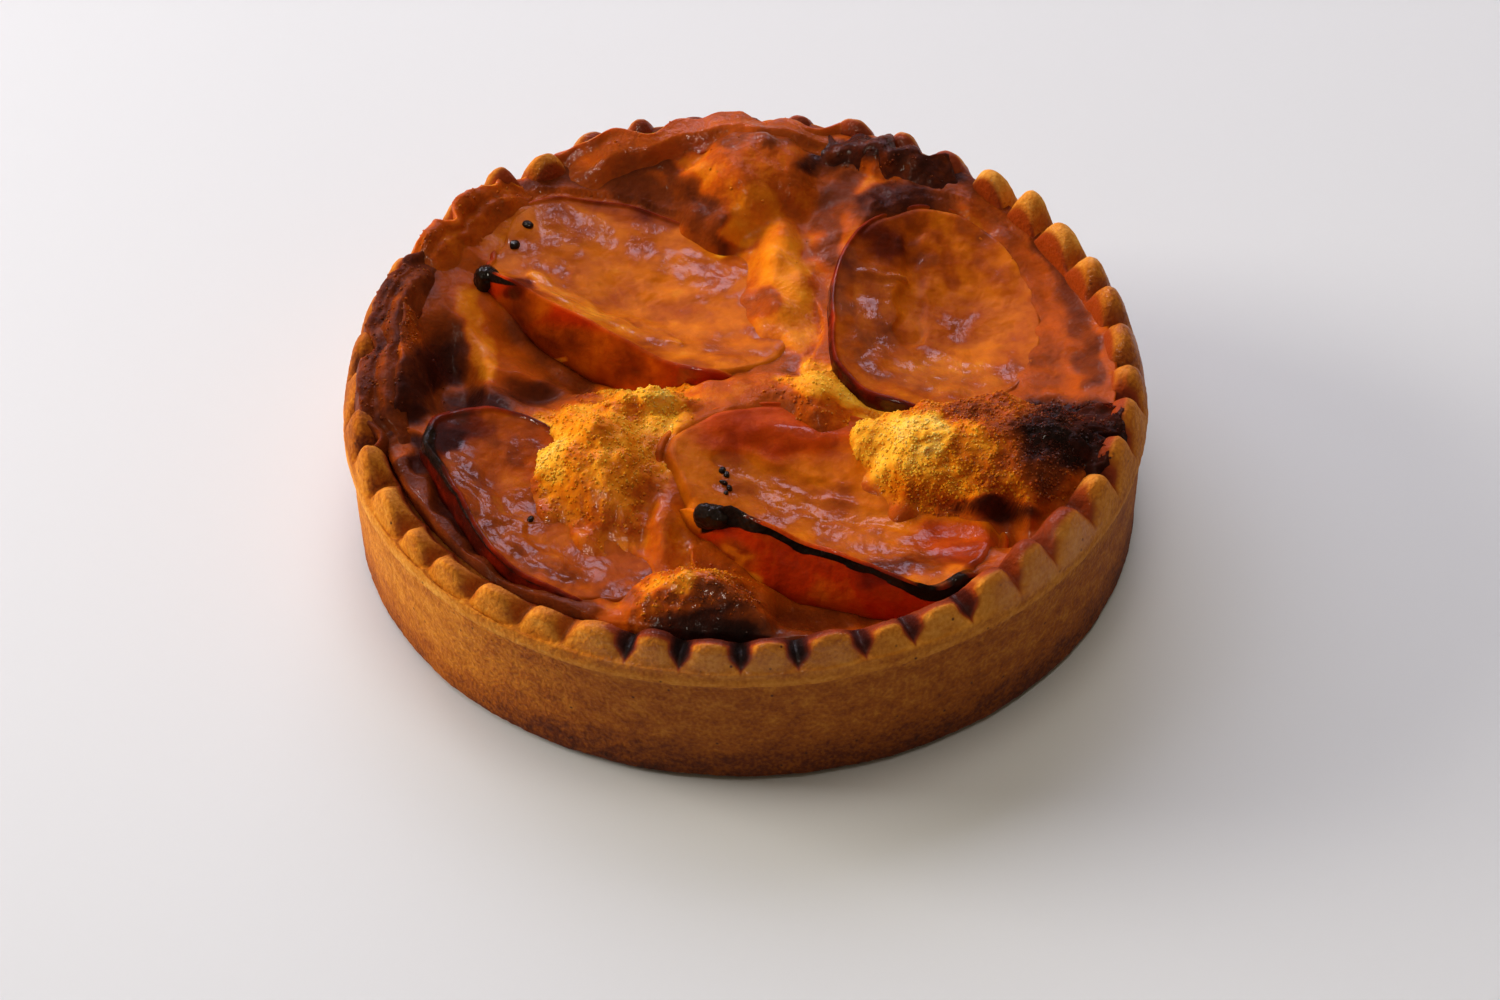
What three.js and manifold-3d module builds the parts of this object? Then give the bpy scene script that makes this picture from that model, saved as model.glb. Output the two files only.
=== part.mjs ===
// A single-portion apricot tart: a shortcrust case with a pressed, scalloped rim, an almond filling
// that has risen in domes, and four apricot halves bedded in it with their stone hollows upwards.
// Millimetres, +Z up, origin at the middle of the flat underside. The front of the tart faces -Y.
import * as THREE from "three";
import Module from "manifold-3d";

// Pastry case
const LIP_RADIUS = 50; // the widest line, where the rim overhangs the wall
const LIP_HEIGHT = 16.3;
const LIP_THICKNESS = 0.8;
const LIP_UNDERCUT = 0.5; // height of the slope under the lip
const LIP_UNEVENNESS = 0.25;
const BASE_RADIUS = 49.5;
const BASE_CORNER = 0.7;
const WALL_TOP_RADIUS = 49.4;
const WALL_UNEVENNESS = 0.2;
const CASE_FLOOR = 3.5;
const INNER_FOOT_RADIUS = 43.6;
const INNER_TOP_RADIUS = 45;
const INNER_EDGE_HEIGHT = 20;

// Scallops pressed into the rim
const SCALLOPS = 43;
const FRONT_NOTCH = -91.5; // degrees, one notch of the rim seen from above
const FRONT_STRETCH = -0.04; // below 0, the front scallops are narrower than the mean by this share
const PRESS_JITTER = -0.08; // share of a scallop's width, to the one side or the other
const NOTCH_HEIGHT = 19.9;
const CROWN_HEIGHT = 23.8;
const CROWN_RADIUS = 47.3;
const CROWN_UNEVENNESS = 0.45;
const BACK_RISE = 0.9; // the rim stands a little higher at the back
const RIM_SAGS = [ // degrees seen from above, and how far the crowns have sagged there
  [-180, 0.2],
  [-165, 0.6],
  [-150, 1.8],
  [-138, 2.2],
  [-125, 2],
  [-110, 1.3],
  [-85, 1.4],
  [-62, 1.2],
  [-48, 0.3],
  [-38, 0],
  [15, 0],
  [30, -0.5],
  [55, -0.6],
  [75, -0.2],
  [95, -0.2],
  [115, -0.9],
  [145, -0.9],
  [165, -0.2],
  [180, 0.2],
];
const SAG_SPREAD = 0.4; // how far out a crown leans for each millimetre that it has sagged
const NOTCH_SAG = 0.5; // a notch's share of the sag
const BAND_TAPER = 0.35; // how far the band over the lip leans in
const BAND_SHARE = 0.62; // how far up to the shoulder the band reaches
const SHOULDER_OUT = 1.5; // from a crown out to its shoulder
const SHOULDER_SHARE = 0.7; // the shoulder's share of the crown's height
const SHOULDER_DROP = 0.3; // how far the shoulder lies under a notch's floor
const SLOPE_IN = 1.6; // from a crown in to the slope behind it
const SLOPE_SHARE = 0.75; // that slope's share of the crown's height
const SCALLOP_STEPS = [0, 0.2, 0.5, 0.8]; // places across one scallop, from notch to notch

// Almond filling
const GAP = 0.3; // clearance between neighbouring pieces
const FILLING_RADIUS = INNER_TOP_RADIUS - GAP;
const FILLING_EDGE = 20.2;
const FILLING_LEVEL = 20.6;
const DOME_ROOT = 18; // the height of a dome's outline
const BED_BELOW = 3; // how far under the floor of a half's hollow its bed lies
const BED_RIM = [0.8, 1.02]; // the bed's wall rises between these shares of the half's outline
const EDGE_SLOPE = 1.1; // steepest rise from the case's edge to a dome
const FILLING_RINGS = 16;
const FILLING_COLUMNS = 80;

// Domes of risen filling: middle, half-sizes, turn in degrees and top height
const DOMES = [
  { middle: [-18.8, -15.4], half: [9.6, 10.6], turn: 0, top: 25.2 },
  { middle: [30, -16.3], half: [17.2, 9], turn: -9, top: 26.4 },
  { middle: [3, 39.5], half: [18, 12], turn: 0, top: 27.5 },
  { middle: [5.5, 21], half: [6, 24], turn: 6, top: 23 },
  { middle: [22, 39.5], half: [12, 7], turn: -28, top: 26.5 },
  { middle: [-41, 8], half: [9, 25], turn: 10, top: 26.5 },
  { middle: [-6.3, -41], half: [10, 7.5], turn: -6, top: 24.8 },
];

// Apricot halves: middle of the cut face, half-sizes, turn in degrees, the cut face's lean along X and Y
// (rise in mm per mm), how far baking has drawn up the end at -X, and how far it has folded in the side at -Y
const HALVES = [
  {
    place: "back_left",
    middle: [-12, 16.1, 22],
    half: [23.7, 15.6],
    turn: -38.5,
    lean: [-0.09, -0.06],
    tip: 1.2,
    fold: 2.4,
  },
  {
    place: "back_right",
    middle: [25.5, 10.7, 21.4],
    half: [20.2, 14.6],
    turn: -90,
    lean: [-0.09, 0.04],
    tip: 0.4,
    fold: 0.4,
  },
  {
    place: "front_right",
    middle: [10.2, -22.9, 21.4],
    half: [22.3, 15.4],
    turn: -22,
    lean: [-0.155, -0.055],
    tip: 0.9,
    fold: 5.4,
  },
  {
    place: "front_left",
    middle: [-23.2, -23.4, 21.1],
    half: [18.4, 10.6],
    turn: -49,
    lean: [-0.15, 0.02],
    tip: 0.6,
    fold: 0.5,
  },
];
const HALF_DEPTH = 12.5;
const HALF_LUMPS = 0.025; // unevenness of the outline, as a share of the radius
const RIM_CURL = 0.1; // how far the wall bulges past the drawn-in rim, as a share of the radius
const RIM_WALL = 1.5;
const RIM_WAVE = 0.5; // how far both ends of the rim stand above its sides
const FOLD_REACH = 50; // degrees to either side of the folded side
const HOLLOW_DEPTH = 4.2;
const STONE_DEPTH = 1.3; // the stone's own dent in the floor of the hollow
const STONE_REACH = 0.5;
const OUTER_RINGS = 7;
const INNER_RINGS = 5;
const HALF_COLUMNS = 36;

// Baked finishes
const FINISHES = {
  pastry: { color: 0xb9742c, roughness: 0.85 },
  filling: { color: 0xc9812a, roughness: 0.6 },
  apricot: { color: 0xb8500f, roughness: 0.3 },
};

const TURN = 2 * Math.PI;
const UP = new THREE.Vector3(0, 0, 1);
const radians = THREE.MathUtils.degToRad;
const smooth = THREE.MathUtils.smoothstep;
const wasm = await Module();
wasm.setup();

// A slow unevenness between -1 and 1 round the tart. The seed shifts its three waves.
function waver(angle, seed) {
  const waves = [
    Math.sin(2 * angle + seed),
    Math.sin(3 * angle + 2.3 * seed),
    Math.sin(5 * angle + 4.1 * seed),
  ];
  return (waves[0] + waves[1] + waves[2]) / waves.length;
}

// A closed skin of rings between two poles. pointAt(ring, column) gives each point of a ring; the rings
// run from the lower pole over the outside to the upper pole, so that the faces look outwards.
function ringedSkin(lowerPole, rings, columns, pointAt, upperPole) {
  const points = [lowerPole];
  for (let ring = 0; ring < rings; ring++) {
    for (let column = 0; column < columns; column++) points.push(pointAt(ring, column));
  }
  points.push(upperPole);
  const last = points.length - 1;
  const at = (ring, column) => 1 + ring * columns + (column % columns);
  const triangles = [];
  for (let column = 0; column < columns; column++) {
    triangles.push(0, at(0, column + 1), at(0, column));
    for (let ring = 0; ring + 1 < rings; ring++) {
      const [a, b] = [at(ring, column), at(ring, column + 1)];
      const [c, d] = [at(ring + 1, column), at(ring + 1, column + 1)];
      triangles.push(a, b, d, a, d, c);
    }
    triangles.push(last, at(rings - 1, column), at(rings - 1, column + 1));
  }
  const skin = new THREE.BufferGeometry().setFromPoints(points);
  skin.setIndex(triangles);
  skin.computeVertexNormals();
  return skin;
}

function around(radius, angle, height) {
  return new THREE.Vector3(radius * Math.cos(angle), radius * Math.sin(angle), height);
}

// The angle of a notch of the rim. Each scallop is pressed by hand, so the notches are nearly even.
function notchAngle(number) {
  const even = radians(FRONT_NOTCH) + (number * TURN) / SCALLOPS;
  const jitter = (PRESS_JITTER * Math.sin(2.4 * (number % SCALLOPS)) * TURN) / SCALLOPS;
  return even + FRONT_STRETCH * Math.cos(even) + jitter;
}

// How far the soft rim has sagged as it baked. It is lowest at the front left.
function rimSag(angle) {
  const degrees = THREE.MathUtils.euclideanModulo(THREE.MathUtils.radToDeg(angle) + 180, 360) - 180;
  const next = RIM_SAGS.findIndex(([place]) => place > degrees);
  const [[from, low], [to, high]] = [RIM_SAGS[next - 1], RIM_SAGS[next]];
  return THREE.MathUtils.mapLinear(degrees, from, to, low, high);
}

// The case's section where the pressed rim stands at `press`, from 0 in a notch to 1 on a crown.
function caseSection(angle, press, lift) {
  const wall = WALL_UNEVENNESS * waver(angle, 1.7);
  const lip = LIP_HEIGHT + LIP_UNEVENNESS * waver(angle, 0.6);
  const sag = rimSag(angle);
  const notch = NOTCH_HEIGHT - NOTCH_SAG * Math.max(0, sag);
  const stand = press * (CROWN_HEIGHT + lift - sag - notch);
  const shoulder = notch - SHOULDER_DROP + SHOULDER_SHARE * stand;
  const crown = CROWN_RADIUS + press * SAG_SPREAD * Math.max(0, sag);
  return [
    [BASE_RADIUS - BASE_CORNER, 0],
    [BASE_RADIUS + wall, BASE_CORNER],
    [WALL_TOP_RADIUS + wall, lip - LIP_UNDERCUT],
    [LIP_RADIUS, lip],
    [LIP_RADIUS, lip + LIP_THICKNESS],
    [LIP_RADIUS - BAND_TAPER, lip + BAND_SHARE * (shoulder - lip)],
    [crown + SHOULDER_OUT, shoulder],
    [crown, notch + stand],
    [crown - SLOPE_IN, notch + SLOPE_SHARE * stand],
    [INNER_TOP_RADIUS, INNER_EDGE_HEIGHT - NOTCH_SAG * Math.max(0, sag)],
    [INNER_FOOT_RADIUS, CASE_FLOOR],
  ];
}

function pastryCase() {
  const sections = [];
  for (let number = 0; number < SCALLOPS; number++) {
    const start = notchAngle(number);
    const width = notchAngle(number + 1) - start;
    const uneven = CROWN_UNEVENNESS * Math.sin(1.7 * number + 0.6);
    for (const step of SCALLOP_STEPS) {
      const angle = start + step * width;
      const press = 1 - Math.abs(2 * step - 1) ** 3;
      const section = caseSection(angle, press, uneven + BACK_RISE * Math.sin(angle));
      sections.push(section.map(([radius, height]) => around(radius, angle, height)));
    }
  }
  return ringedSkin(
    new THREE.Vector3(0, 0, 0),
    sections[0].length,
    sections.length,
    (ring, column) => sections[column][ring],
    new THREE.Vector3(0, 0, CASE_FLOOR),
  );
}

// One apricot half in its own frame: cut face level at z = 0, long axis along X, hollow upwards. The wall
// bulges below the rim, because the cut edge dries and draws in as it bakes.
function apricotHalf(shape) {
  const [long, short] = shape.half;
  const rise = (angle) => shape.tip * Math.max(0, -Math.cos(angle)) ** 4 + RIM_WAVE * Math.cos(2 * angle);
  const folded = (angle) => {
    const away = Math.acos(-Math.sin(angle)) / radians(FOLD_REACH);
    return (shape.fold / short) * Math.exp(-(away ** 2));
  };
  const outside = (ring, angle) => {
    const latitude = ((OUTER_RINGS - 1 - ring) / OUTER_RINGS) * (Math.PI / 2);
    const upright = Math.cos(latitude);
    const share = upright + RIM_CURL * Math.sin(2 * latitude) - folded(angle) * upright ** 5;
    return [share, rise(angle) * upright ** 3 - HALF_DEPTH * Math.sin(latitude)];
  };
  const inside = (ring, angle) => {
    const out = 1 - ring / INNER_RINGS;
    const stone = STONE_DEPTH * Math.exp(-((out / STONE_REACH) ** 2));
    const share = out * (1 - RIM_WALL / short - folded(angle));
    return [share, rise(angle) * out ** 3 - HOLLOW_DEPTH * (1 - out ** 4) - stone];
  };
  const pointAt = (ring, column) => {
    const angle = (column * TURN) / HALF_COLUMNS;
    const [share, z] = ring < OUTER_RINGS ? outside(ring, angle) : inside(ring - OUTER_RINGS, angle);
    const wide = share * (1 + HALF_LUMPS * waver(angle, shape.turn));
    return new THREE.Vector3(wide * long * Math.cos(angle), wide * short * Math.sin(angle), z);
  };
  return ringedSkin(
    new THREE.Vector3(0, 0, -HALF_DEPTH),
    OUTER_RINGS + INNER_RINGS,
    HALF_COLUMNS,
    pointAt,
    new THREE.Vector3(0, 0, -HOLLOW_DEPTH - STONE_DEPTH),
  );
}

// How far out a point lies in a turned ellipse: 0 at its middle, 1 on its outline.
function reach(shape, x, y) {
  const angle = radians(shape.turn);
  const [dx, dy] = [x - shape.middle[0], y - shape.middle[1]];
  const along = dx * Math.cos(angle) + dy * Math.sin(angle);
  const across = dy * Math.cos(angle) - dx * Math.sin(angle);
  return Math.hypot(along / shape.half[0], across / shape.half[1]);
}

// Height of the baked filling. It dips under each half and rises in domes between them.
function fillingTop(x, y) {
  let height = FILLING_LEVEL;
  for (const { middle, lean, ...outline } of HALVES) {
    const cutFace = middle[2] + lean[0] * (x - middle[0]) + lean[1] * (y - middle[1]);
    const bed = cutFace - HOLLOW_DEPTH - STONE_DEPTH - BED_BELOW;
    const wall = smooth(reach({ middle, ...outline }, x, y), ...BED_RIM);
    height = Math.min(height, bed + wall * (FILLING_LEVEL - bed));
  }
  for (const dome of DOMES) {
    height = Math.max(height, dome.top - (dome.top - DOME_ROOT) * reach(dome, x, y) ** 2);
  }
  const fromEdge = Math.max(0, FILLING_RADIUS - Math.hypot(x, y));
  return Math.min(height, FILLING_EDGE + EDGE_SLOPE * fromEdge);
}

function almondFilling() {
  const floor = CASE_FLOOR + GAP;
  const pointAt = (ring, column) => {
    const angle = (column * TURN) / FILLING_COLUMNS;
    if (ring === 0) return around(INNER_FOOT_RADIUS - GAP, angle, floor);
    const top = around(FILLING_RADIUS * (1 - (ring - 1) / FILLING_RINGS), angle, 0);
    return top.setZ(fillingTop(top.x, top.y));
  };
  return ringedSkin(
    new THREE.Vector3(0, 0, floor),
    FILLING_RINGS + 1,
    FILLING_COLUMNS,
    pointAt,
    new THREE.Vector3(0, 0, fillingTop(0, 0)),
  );
}

// The same skin moved out along its normals, to cut a bed with clearance all round.
function grown(skin, distance) {
  const bigger = skin.clone();
  const { position, normal } = bigger.attributes;
  for (let i = 0; i < position.count; i++) {
    const outwards = new THREE.Vector3().fromBufferAttribute(normal, i);
    const point = new THREE.Vector3().fromBufferAttribute(position, i).addScaledVector(outwards, distance);
    position.setXYZ(i, point.x, point.y, point.z);
  }
  return bigger;
}

function toSolid(skin) {
  const mesh = new wasm.Mesh({
    numProp: 3,
    vertProperties: new Float32Array(skin.attributes.position.array),
    triVerts: new Uint32Array(skin.index.array),
  });
  return new wasm.Manifold(mesh);
}

function toSkin(solid) {
  const { vertProperties, triVerts } = solid.getMesh();
  const skin = new THREE.BufferGeometry();
  skin.setAttribute("position", new THREE.BufferAttribute(vertProperties, 3));
  skin.setIndex(new THREE.BufferAttribute(triVerts, 1));
  skin.computeVertexNormals();
  return skin;
}

// The filling with the halves' beds cut out of it. Crumbs that a cut leaves loose are dropped.
function beddedFilling(halves) {
  let solid = toSolid(almondFilling());
  for (const half of halves) {
    half.updateMatrix();
    solid = solid.subtract(toSolid(grown(half.geometry, GAP).applyMatrix4(half.matrix)));
  }
  const bodies = solid.decompose();
  return toSkin(bodies.reduce((most, body) => (body.volume() > most.volume() ? body : most)));
}

function piece(name, skin, finish) {
  const mesh = new THREE.Mesh(skin, new THREE.MeshStandardMaterial({ ...FINISHES[finish], metalness: 0 }));
  mesh.name = name;
  return mesh;
}

// A half in its place: turned about the vertical, then leaned with its cut face.
function placedHalf(shape) {
  const half = piece(`apricot_half_${shape.place}`, apricotHalf(shape), "apricot");
  const faceUp = new THREE.Vector3(-shape.lean[0], -shape.lean[1], 1).normalize();
  const turned = new THREE.Quaternion().setFromAxisAngle(UP, radians(shape.turn));
  half.quaternion.setFromUnitVectors(UP, faceUp).multiply(turned);
  half.position.set(...shape.middle);
  return half;
}

const halves = HALVES.map(placedHalf);
const tart = new THREE.Group();
tart.add(piece("pastry_case", pastryCase(), "pastry"));
tart.add(piece("almond_filling", beddedFilling(halves), "filling"));
tart.add(...halves);

export default tart;
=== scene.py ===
# %% [markdown]
# # A baked apricot tart
# A shortcrust case with a pressed rim, an almond filling that has risen in domes, and four apricot
# halves whose cut edges have charred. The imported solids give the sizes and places. This lesson replaces
# each of them with a finer mesh of the same form, and adds what solids leave plain: crumb, char, glaze
# and light.

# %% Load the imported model
import math

import bmesh
import bpy
import numpy as np
from mathutils import Matrix, Vector
from mathutils.bvhtree import BVHTree


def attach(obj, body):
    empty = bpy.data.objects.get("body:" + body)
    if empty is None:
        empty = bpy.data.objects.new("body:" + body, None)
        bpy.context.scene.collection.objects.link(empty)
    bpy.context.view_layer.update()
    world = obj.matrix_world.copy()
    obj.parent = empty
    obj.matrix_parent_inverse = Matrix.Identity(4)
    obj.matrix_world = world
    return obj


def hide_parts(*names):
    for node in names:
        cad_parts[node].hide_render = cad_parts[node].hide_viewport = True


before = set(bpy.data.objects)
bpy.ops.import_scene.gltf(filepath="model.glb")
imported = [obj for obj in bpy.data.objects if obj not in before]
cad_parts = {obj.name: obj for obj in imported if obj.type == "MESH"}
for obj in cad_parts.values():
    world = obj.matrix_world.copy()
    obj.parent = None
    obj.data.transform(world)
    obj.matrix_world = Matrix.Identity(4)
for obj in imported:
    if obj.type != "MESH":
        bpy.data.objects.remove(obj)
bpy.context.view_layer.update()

# %% [markdown]
# ## Camera
# The picture is taken from in front and above, with a long lens, so the tart's far rim is hardly
# smaller than its near one. The camera is turned on its own axis by a small roll, which an aim
# constraint can't give, so its matrix is written out from the direction it looks in.

# %% Camera
MM = 0.001
PICTURE_WIDTH = 1500  # pixels of the whole frame
LENS = 72  # mm
SENSOR = 36  # mm
CAMERA_DISTANCE = 386.6  # mm
CAMERA_ELEVATION = math.radians(43.35)
CAMERA_ROLL = math.radians(-1.45)
FRAME_SHIFT = (2.9, -10.7)  # pixels

ahead = Vector((0, math.cos(CAMERA_ELEVATION), -math.sin(CAMERA_ELEVATION)))
across = Vector((1, 0, 0))
upwards = across.cross(ahead)
roll = Matrix.Rotation(CAMERA_ROLL, 3, -ahead)
lens = bpy.data.cameras.new("camera")
lens.lens = LENS
lens.sensor_width = SENSOR
lens.shift_x = FRAME_SHIFT[0] / PICTURE_WIDTH
lens.shift_y = FRAME_SHIFT[1] / PICTURE_WIDTH
camera = bpy.data.objects.new("camera", lens)
camera.matrix_world = Matrix((roll @ across, roll @ upwards, -ahead)).transposed().to_4x4()
camera.location = -ahead * CAMERA_DISTANCE * MM
bpy.context.scene.collection.objects.link(camera)
bpy.context.scene.camera = camera
print("camera at", [round(x, 3) for x in camera.location])

# %% [markdown]
# ## Two small tools
# Colours are written as the hex values that a paint program shows. Blender's sockets hold linear light,
# so one function turns one into the other. A second function adds a node to any tree, sets its
# properties and sockets, and links whatever another node gives.

# %% Colours and nodes
def linear(colour):
    """An sRGB colour such as "#c8691f" as linear red, green, blue and alpha."""
    shares = [int(colour[i : i + 2], 16) / 255 for i in (1, 3, 5)]
    return [s / 12.92 if s <= 0.04045 else ((s + 0.055) / 1.055) ** 2.4 for s in shares] + [1.0]


def add(tree, kind, sockets=None, stops=(), **settings):
    """Adds a node. A socket takes a value, another's socket, or a node, which gives its first output."""
    node = tree.nodes.new(kind)
    for name, value in settings.items():
        setattr(node, name, value)
    for name, value in (sockets or {}).items():
        target = node.inputs[name]
        if isinstance(name, str):
            target = next(s for s in node.inputs if s.name == name and s.enabled)
        if isinstance(value, bpy.types.Node):
            value = next(s for s in value.outputs if s.enabled)
        if isinstance(value, bpy.types.NodeSocket):
            tree.links.new(value, target)
        else:
            target.default_value = value
    if stops:
        ramp = node.color_ramp.elements
        ramp[0].position, ramp[0].color = stops[0][0], linear(stops[0][1])
        ramp[-1].position, ramp[-1].color = stops[-1][0], linear(stops[-1][1])
        for place, colour in stops[1:-1]:
            ramp.new(place).color = linear(colour)
    return node


def new_material(name):
    """A material with an empty node tree."""
    material = bpy.data.materials.new(name)
    material.use_nodes = True
    material.node_tree.nodes.clear()
    return material


def new_tree(name, inputs, output=("Geometry", "Geometry")):
    """An empty geometry tree with named inputs, each given with its kind of socket."""
    tree = bpy.data.node_groups.new(name, "GeometryNodeTree")
    tree.interface.new_socket(output[0], in_out="OUTPUT", socket_type="NodeSocket" + output[1])
    for label, kind in inputs.items():
        tree.interface.new_socket(label, in_out="INPUT", socket_type="NodeSocket" + kind)
    return tree, add(tree, "NodeGroupInput").outputs


print("a mid grey is", [round(x, 3) for x in linear("#808080")])

# %% [markdown]
# ## Light and floor
# The tart stands by a window: broad cool light comes from behind, a little from the left, so level
# glaze mirrors it as a lilac sheen and the shadow falls towards the camera. One large area light is
# that window. The sheen it would leave on syrup is one even veil, so three dimmer panes with gaps
# between them are all that shows in gloss, and break it up. Two small lamps, one behind and one in
# front, give the sharp glints, and an even, warm sky fills the front.

# %% Light and floor
SKY = ("#ffe6bc", 0.15)
LIGHTS = {  # place and size in metres, watts, colour, whether it lights surfaces and shows in gloss
    "window": ((-0.5, 1.2, 0.95), (2.0, 1.3), 25.0, "#f2efff", True, False),
    "pane_left": ((-0.6, 1.15, 1.0), (0.3, 0.7), 2.2, "#e6e0ff", False, True),
    "pane_middle": ((-0.05, 1.3, 1.1), (0.3, 0.7), 2.2, "#e6e0ff", False, True),
    "pane_right": ((0.5, 1.2, 1.0), (0.3, 0.7), 2.2, "#e6e0ff", False, True),
    "glint": ((-0.45, 0.75, 0.75), (0.1, 0.16), 1.3, "#ffffff", False, True),
    "front_glint": ((-0.3, -0.4, 0.75), (0.1, 0.1), 1.6, "#fff2e0", False, True),
    "overhead": ((0.1, 0.1, 1.4), (0.8, 0.8), 6.0, "#fff4e4", True, False),
    "left_wall": ((-1.05, 0.3, 0.35), (0.5, 0.4), 15.0, "#fff4e4", True, False),
}
FLOOR_SIZE = 4.0  # metres

scene = bpy.context.scene
scene.view_settings.view_transform = "Standard"
scene.world = bpy.data.worlds.new("even_sky")
scene.world.use_nodes = True
scene.world.node_tree.nodes.clear()
sky = add(scene.world.node_tree, "ShaderNodeBackground", {"Color": linear(SKY[0]), "Strength": SKY[1]})
add(scene.world.node_tree, "ShaderNodeOutputWorld", {"Surface": sky})
for name, (place, size, power, colour, on_surfaces, in_gloss) in LIGHTS.items():
    lamp = bpy.data.lights.new(name, "AREA")
    lamp.shape = "RECTANGLE"
    lamp.size, lamp.size_y = size
    lamp.energy = power
    lamp.color = linear(colour)[:3]
    light = bpy.data.objects.new(name, lamp)
    light.location = place
    light.visible_diffuse = on_surfaces
    light.visible_glossy = in_gloss
    light.rotation_euler = (-Vector(place)).to_track_quat("-Z", "Y").to_euler()
    scene.collection.objects.link(light)

# A board with pale satin paint: it shows as one soft, even ground under the shadow.
pale_board = new_material("board_painted_with_pale_satin")
nodes = pale_board.node_tree
ground = add(nodes, "ShaderNodeBsdfPrincipled", {"Base Color": linear("#d3d9e0"), "Roughness": 0.5})
add(nodes, "ShaderNodeOutputMaterial", {"Surface": ground})
corners = [(x * FLOOR_SIZE / 2, y * FLOOR_SIZE / 2, 0) for x, y in ((-1, -1), (1, -1), (1, 1), (-1, 1))]
floor_mesh = bpy.data.meshes.new("floor")
floor_mesh.from_pydata(corners, [], [(0, 1, 2, 3)])
floor_mesh.materials.append(pale_board)
floor = bpy.data.objects.new("floor", floor_mesh)
scene.collection.objects.link(floor)
print(len(LIGHTS), "lights and a floor of", FLOOR_SIZE, "m")

# %% [markdown]
# ## From arrays to pieces
# Most pieces here are skins of rings, so one function joins rings of points between two poles. Another
# puts a geometry tree on an object, sets its inputs by their identifiers, and keeps the result as a
# plain mesh. The last one hands a finished piece over to the frame.

# %% Meshes and pieces
def fade(value, start, end):
    """0 at start, 1 at end, with a soft change between them."""
    share = np.clip((np.asarray(value, float) - start) / (end - start), 0, 1)
    return share * share * (3 - 2 * share)


def waver(angle, seed):
    """A slow unevenness between -1 and 1 round a ring."""
    waves = (np.sin(2 * angle + seed), np.sin(3 * angle + 2.3 * seed), np.sin(5 * angle + 4.1 * seed))
    return sum(waves) / len(waves)


def ringed_faces(rings, columns):
    """Faces of a skin of rings between two poles. Point 0 is the lower pole, and the last the upper one."""
    column = np.arange(columns)
    beside = (column + 1) % columns
    quads = []
    for ring in range(rings - 1):
        low, high = 1 + ring * columns, 1 + (ring + 1) * columns
        quads += np.stack([low + column, low + beside, high + beside, high + column], 1).tolist()
    last = 1 + (rings - 1) * columns
    bottom = np.stack([0 * column, 1 + beside, 1 + column], 1).tolist()
    top = np.stack([0 * column + last + columns, last + column, last + beside], 1).tolist()
    return quads + bottom + top


def make_object(name, points, faces, fields=None):
    """A mesh object from points in millimetres, with a named value at each point for each field."""
    mesh = bpy.data.meshes.new(name)
    mesh.from_pydata((np.asarray(points) * MM).tolist(), [], faces)
    for field, values in (fields or {}).items():
        mesh.attributes.new(field, "FLOAT", "POINT").data.foreach_set("value", values.astype(np.float32))
    mesh.shade_smooth()
    piece = bpy.data.objects.new(name, mesh)
    scene.collection.objects.link(piece)
    return piece


def run_tree(piece, tree, inputs):
    """Sends the piece through a geometry tree, and keeps the result as its plain mesh."""
    modifier = piece.modifiers.new(tree.name, "NODES")
    modifier.node_group = tree
    for socket in tree.interface.items_tree:
        if socket.item_type == "SOCKET" and socket.in_out == "INPUT" and socket.name in inputs:
            modifier[socket.identifier] = inputs[socket.name]
    graph = bpy.context.evaluated_depsgraph_get()
    plain = bpy.data.meshes.new_from_object(piece.evaluated_get(graph))
    piece.modifiers.clear()
    piece.data = plain
    return piece


def points_of(piece):
    """The piece's points in millimetres."""
    flat = np.empty(len(piece.data.vertices) * 3, np.float32)
    piece.data.vertices.foreach_get("co", flat)
    return flat.reshape(-1, 3).astype(float) / MM


def set_field(piece, field, values):
    """Writes a value for each point of the piece to a named field."""
    attribute = piece.data.attributes.get(field) or piece.data.attributes.new(field, "FLOAT", "POINT")
    attribute.data.foreach_set("value", np.asarray(values, np.float32))


def hand_over(piece, slot, *nodes):
    """Gives a finished piece to the frame and hides the solids that it stands in for. The slot is not used.
    """
    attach(piece, "root")
    if nodes:
        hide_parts(*nodes)
    piece.data.calc_loop_triangles()
    heights = points_of(piece)[:, 2]
    triangles = len(piece.data.loop_triangles)
    print(piece.name, triangles, "triangles from", heights.min(), "to", heights.max(), "mm")


# %% [markdown]
# ## Baked relief
# Pastry, filling and fruit are all a little lumpy, grainy or pebbly. One geometry tree moves a surface
# in and out along its normals by three patterns, each of a real size, and three fields on the mesh say
# where each of them acts. A bump map would be cheaper, but it leaves the outline smooth.

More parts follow.
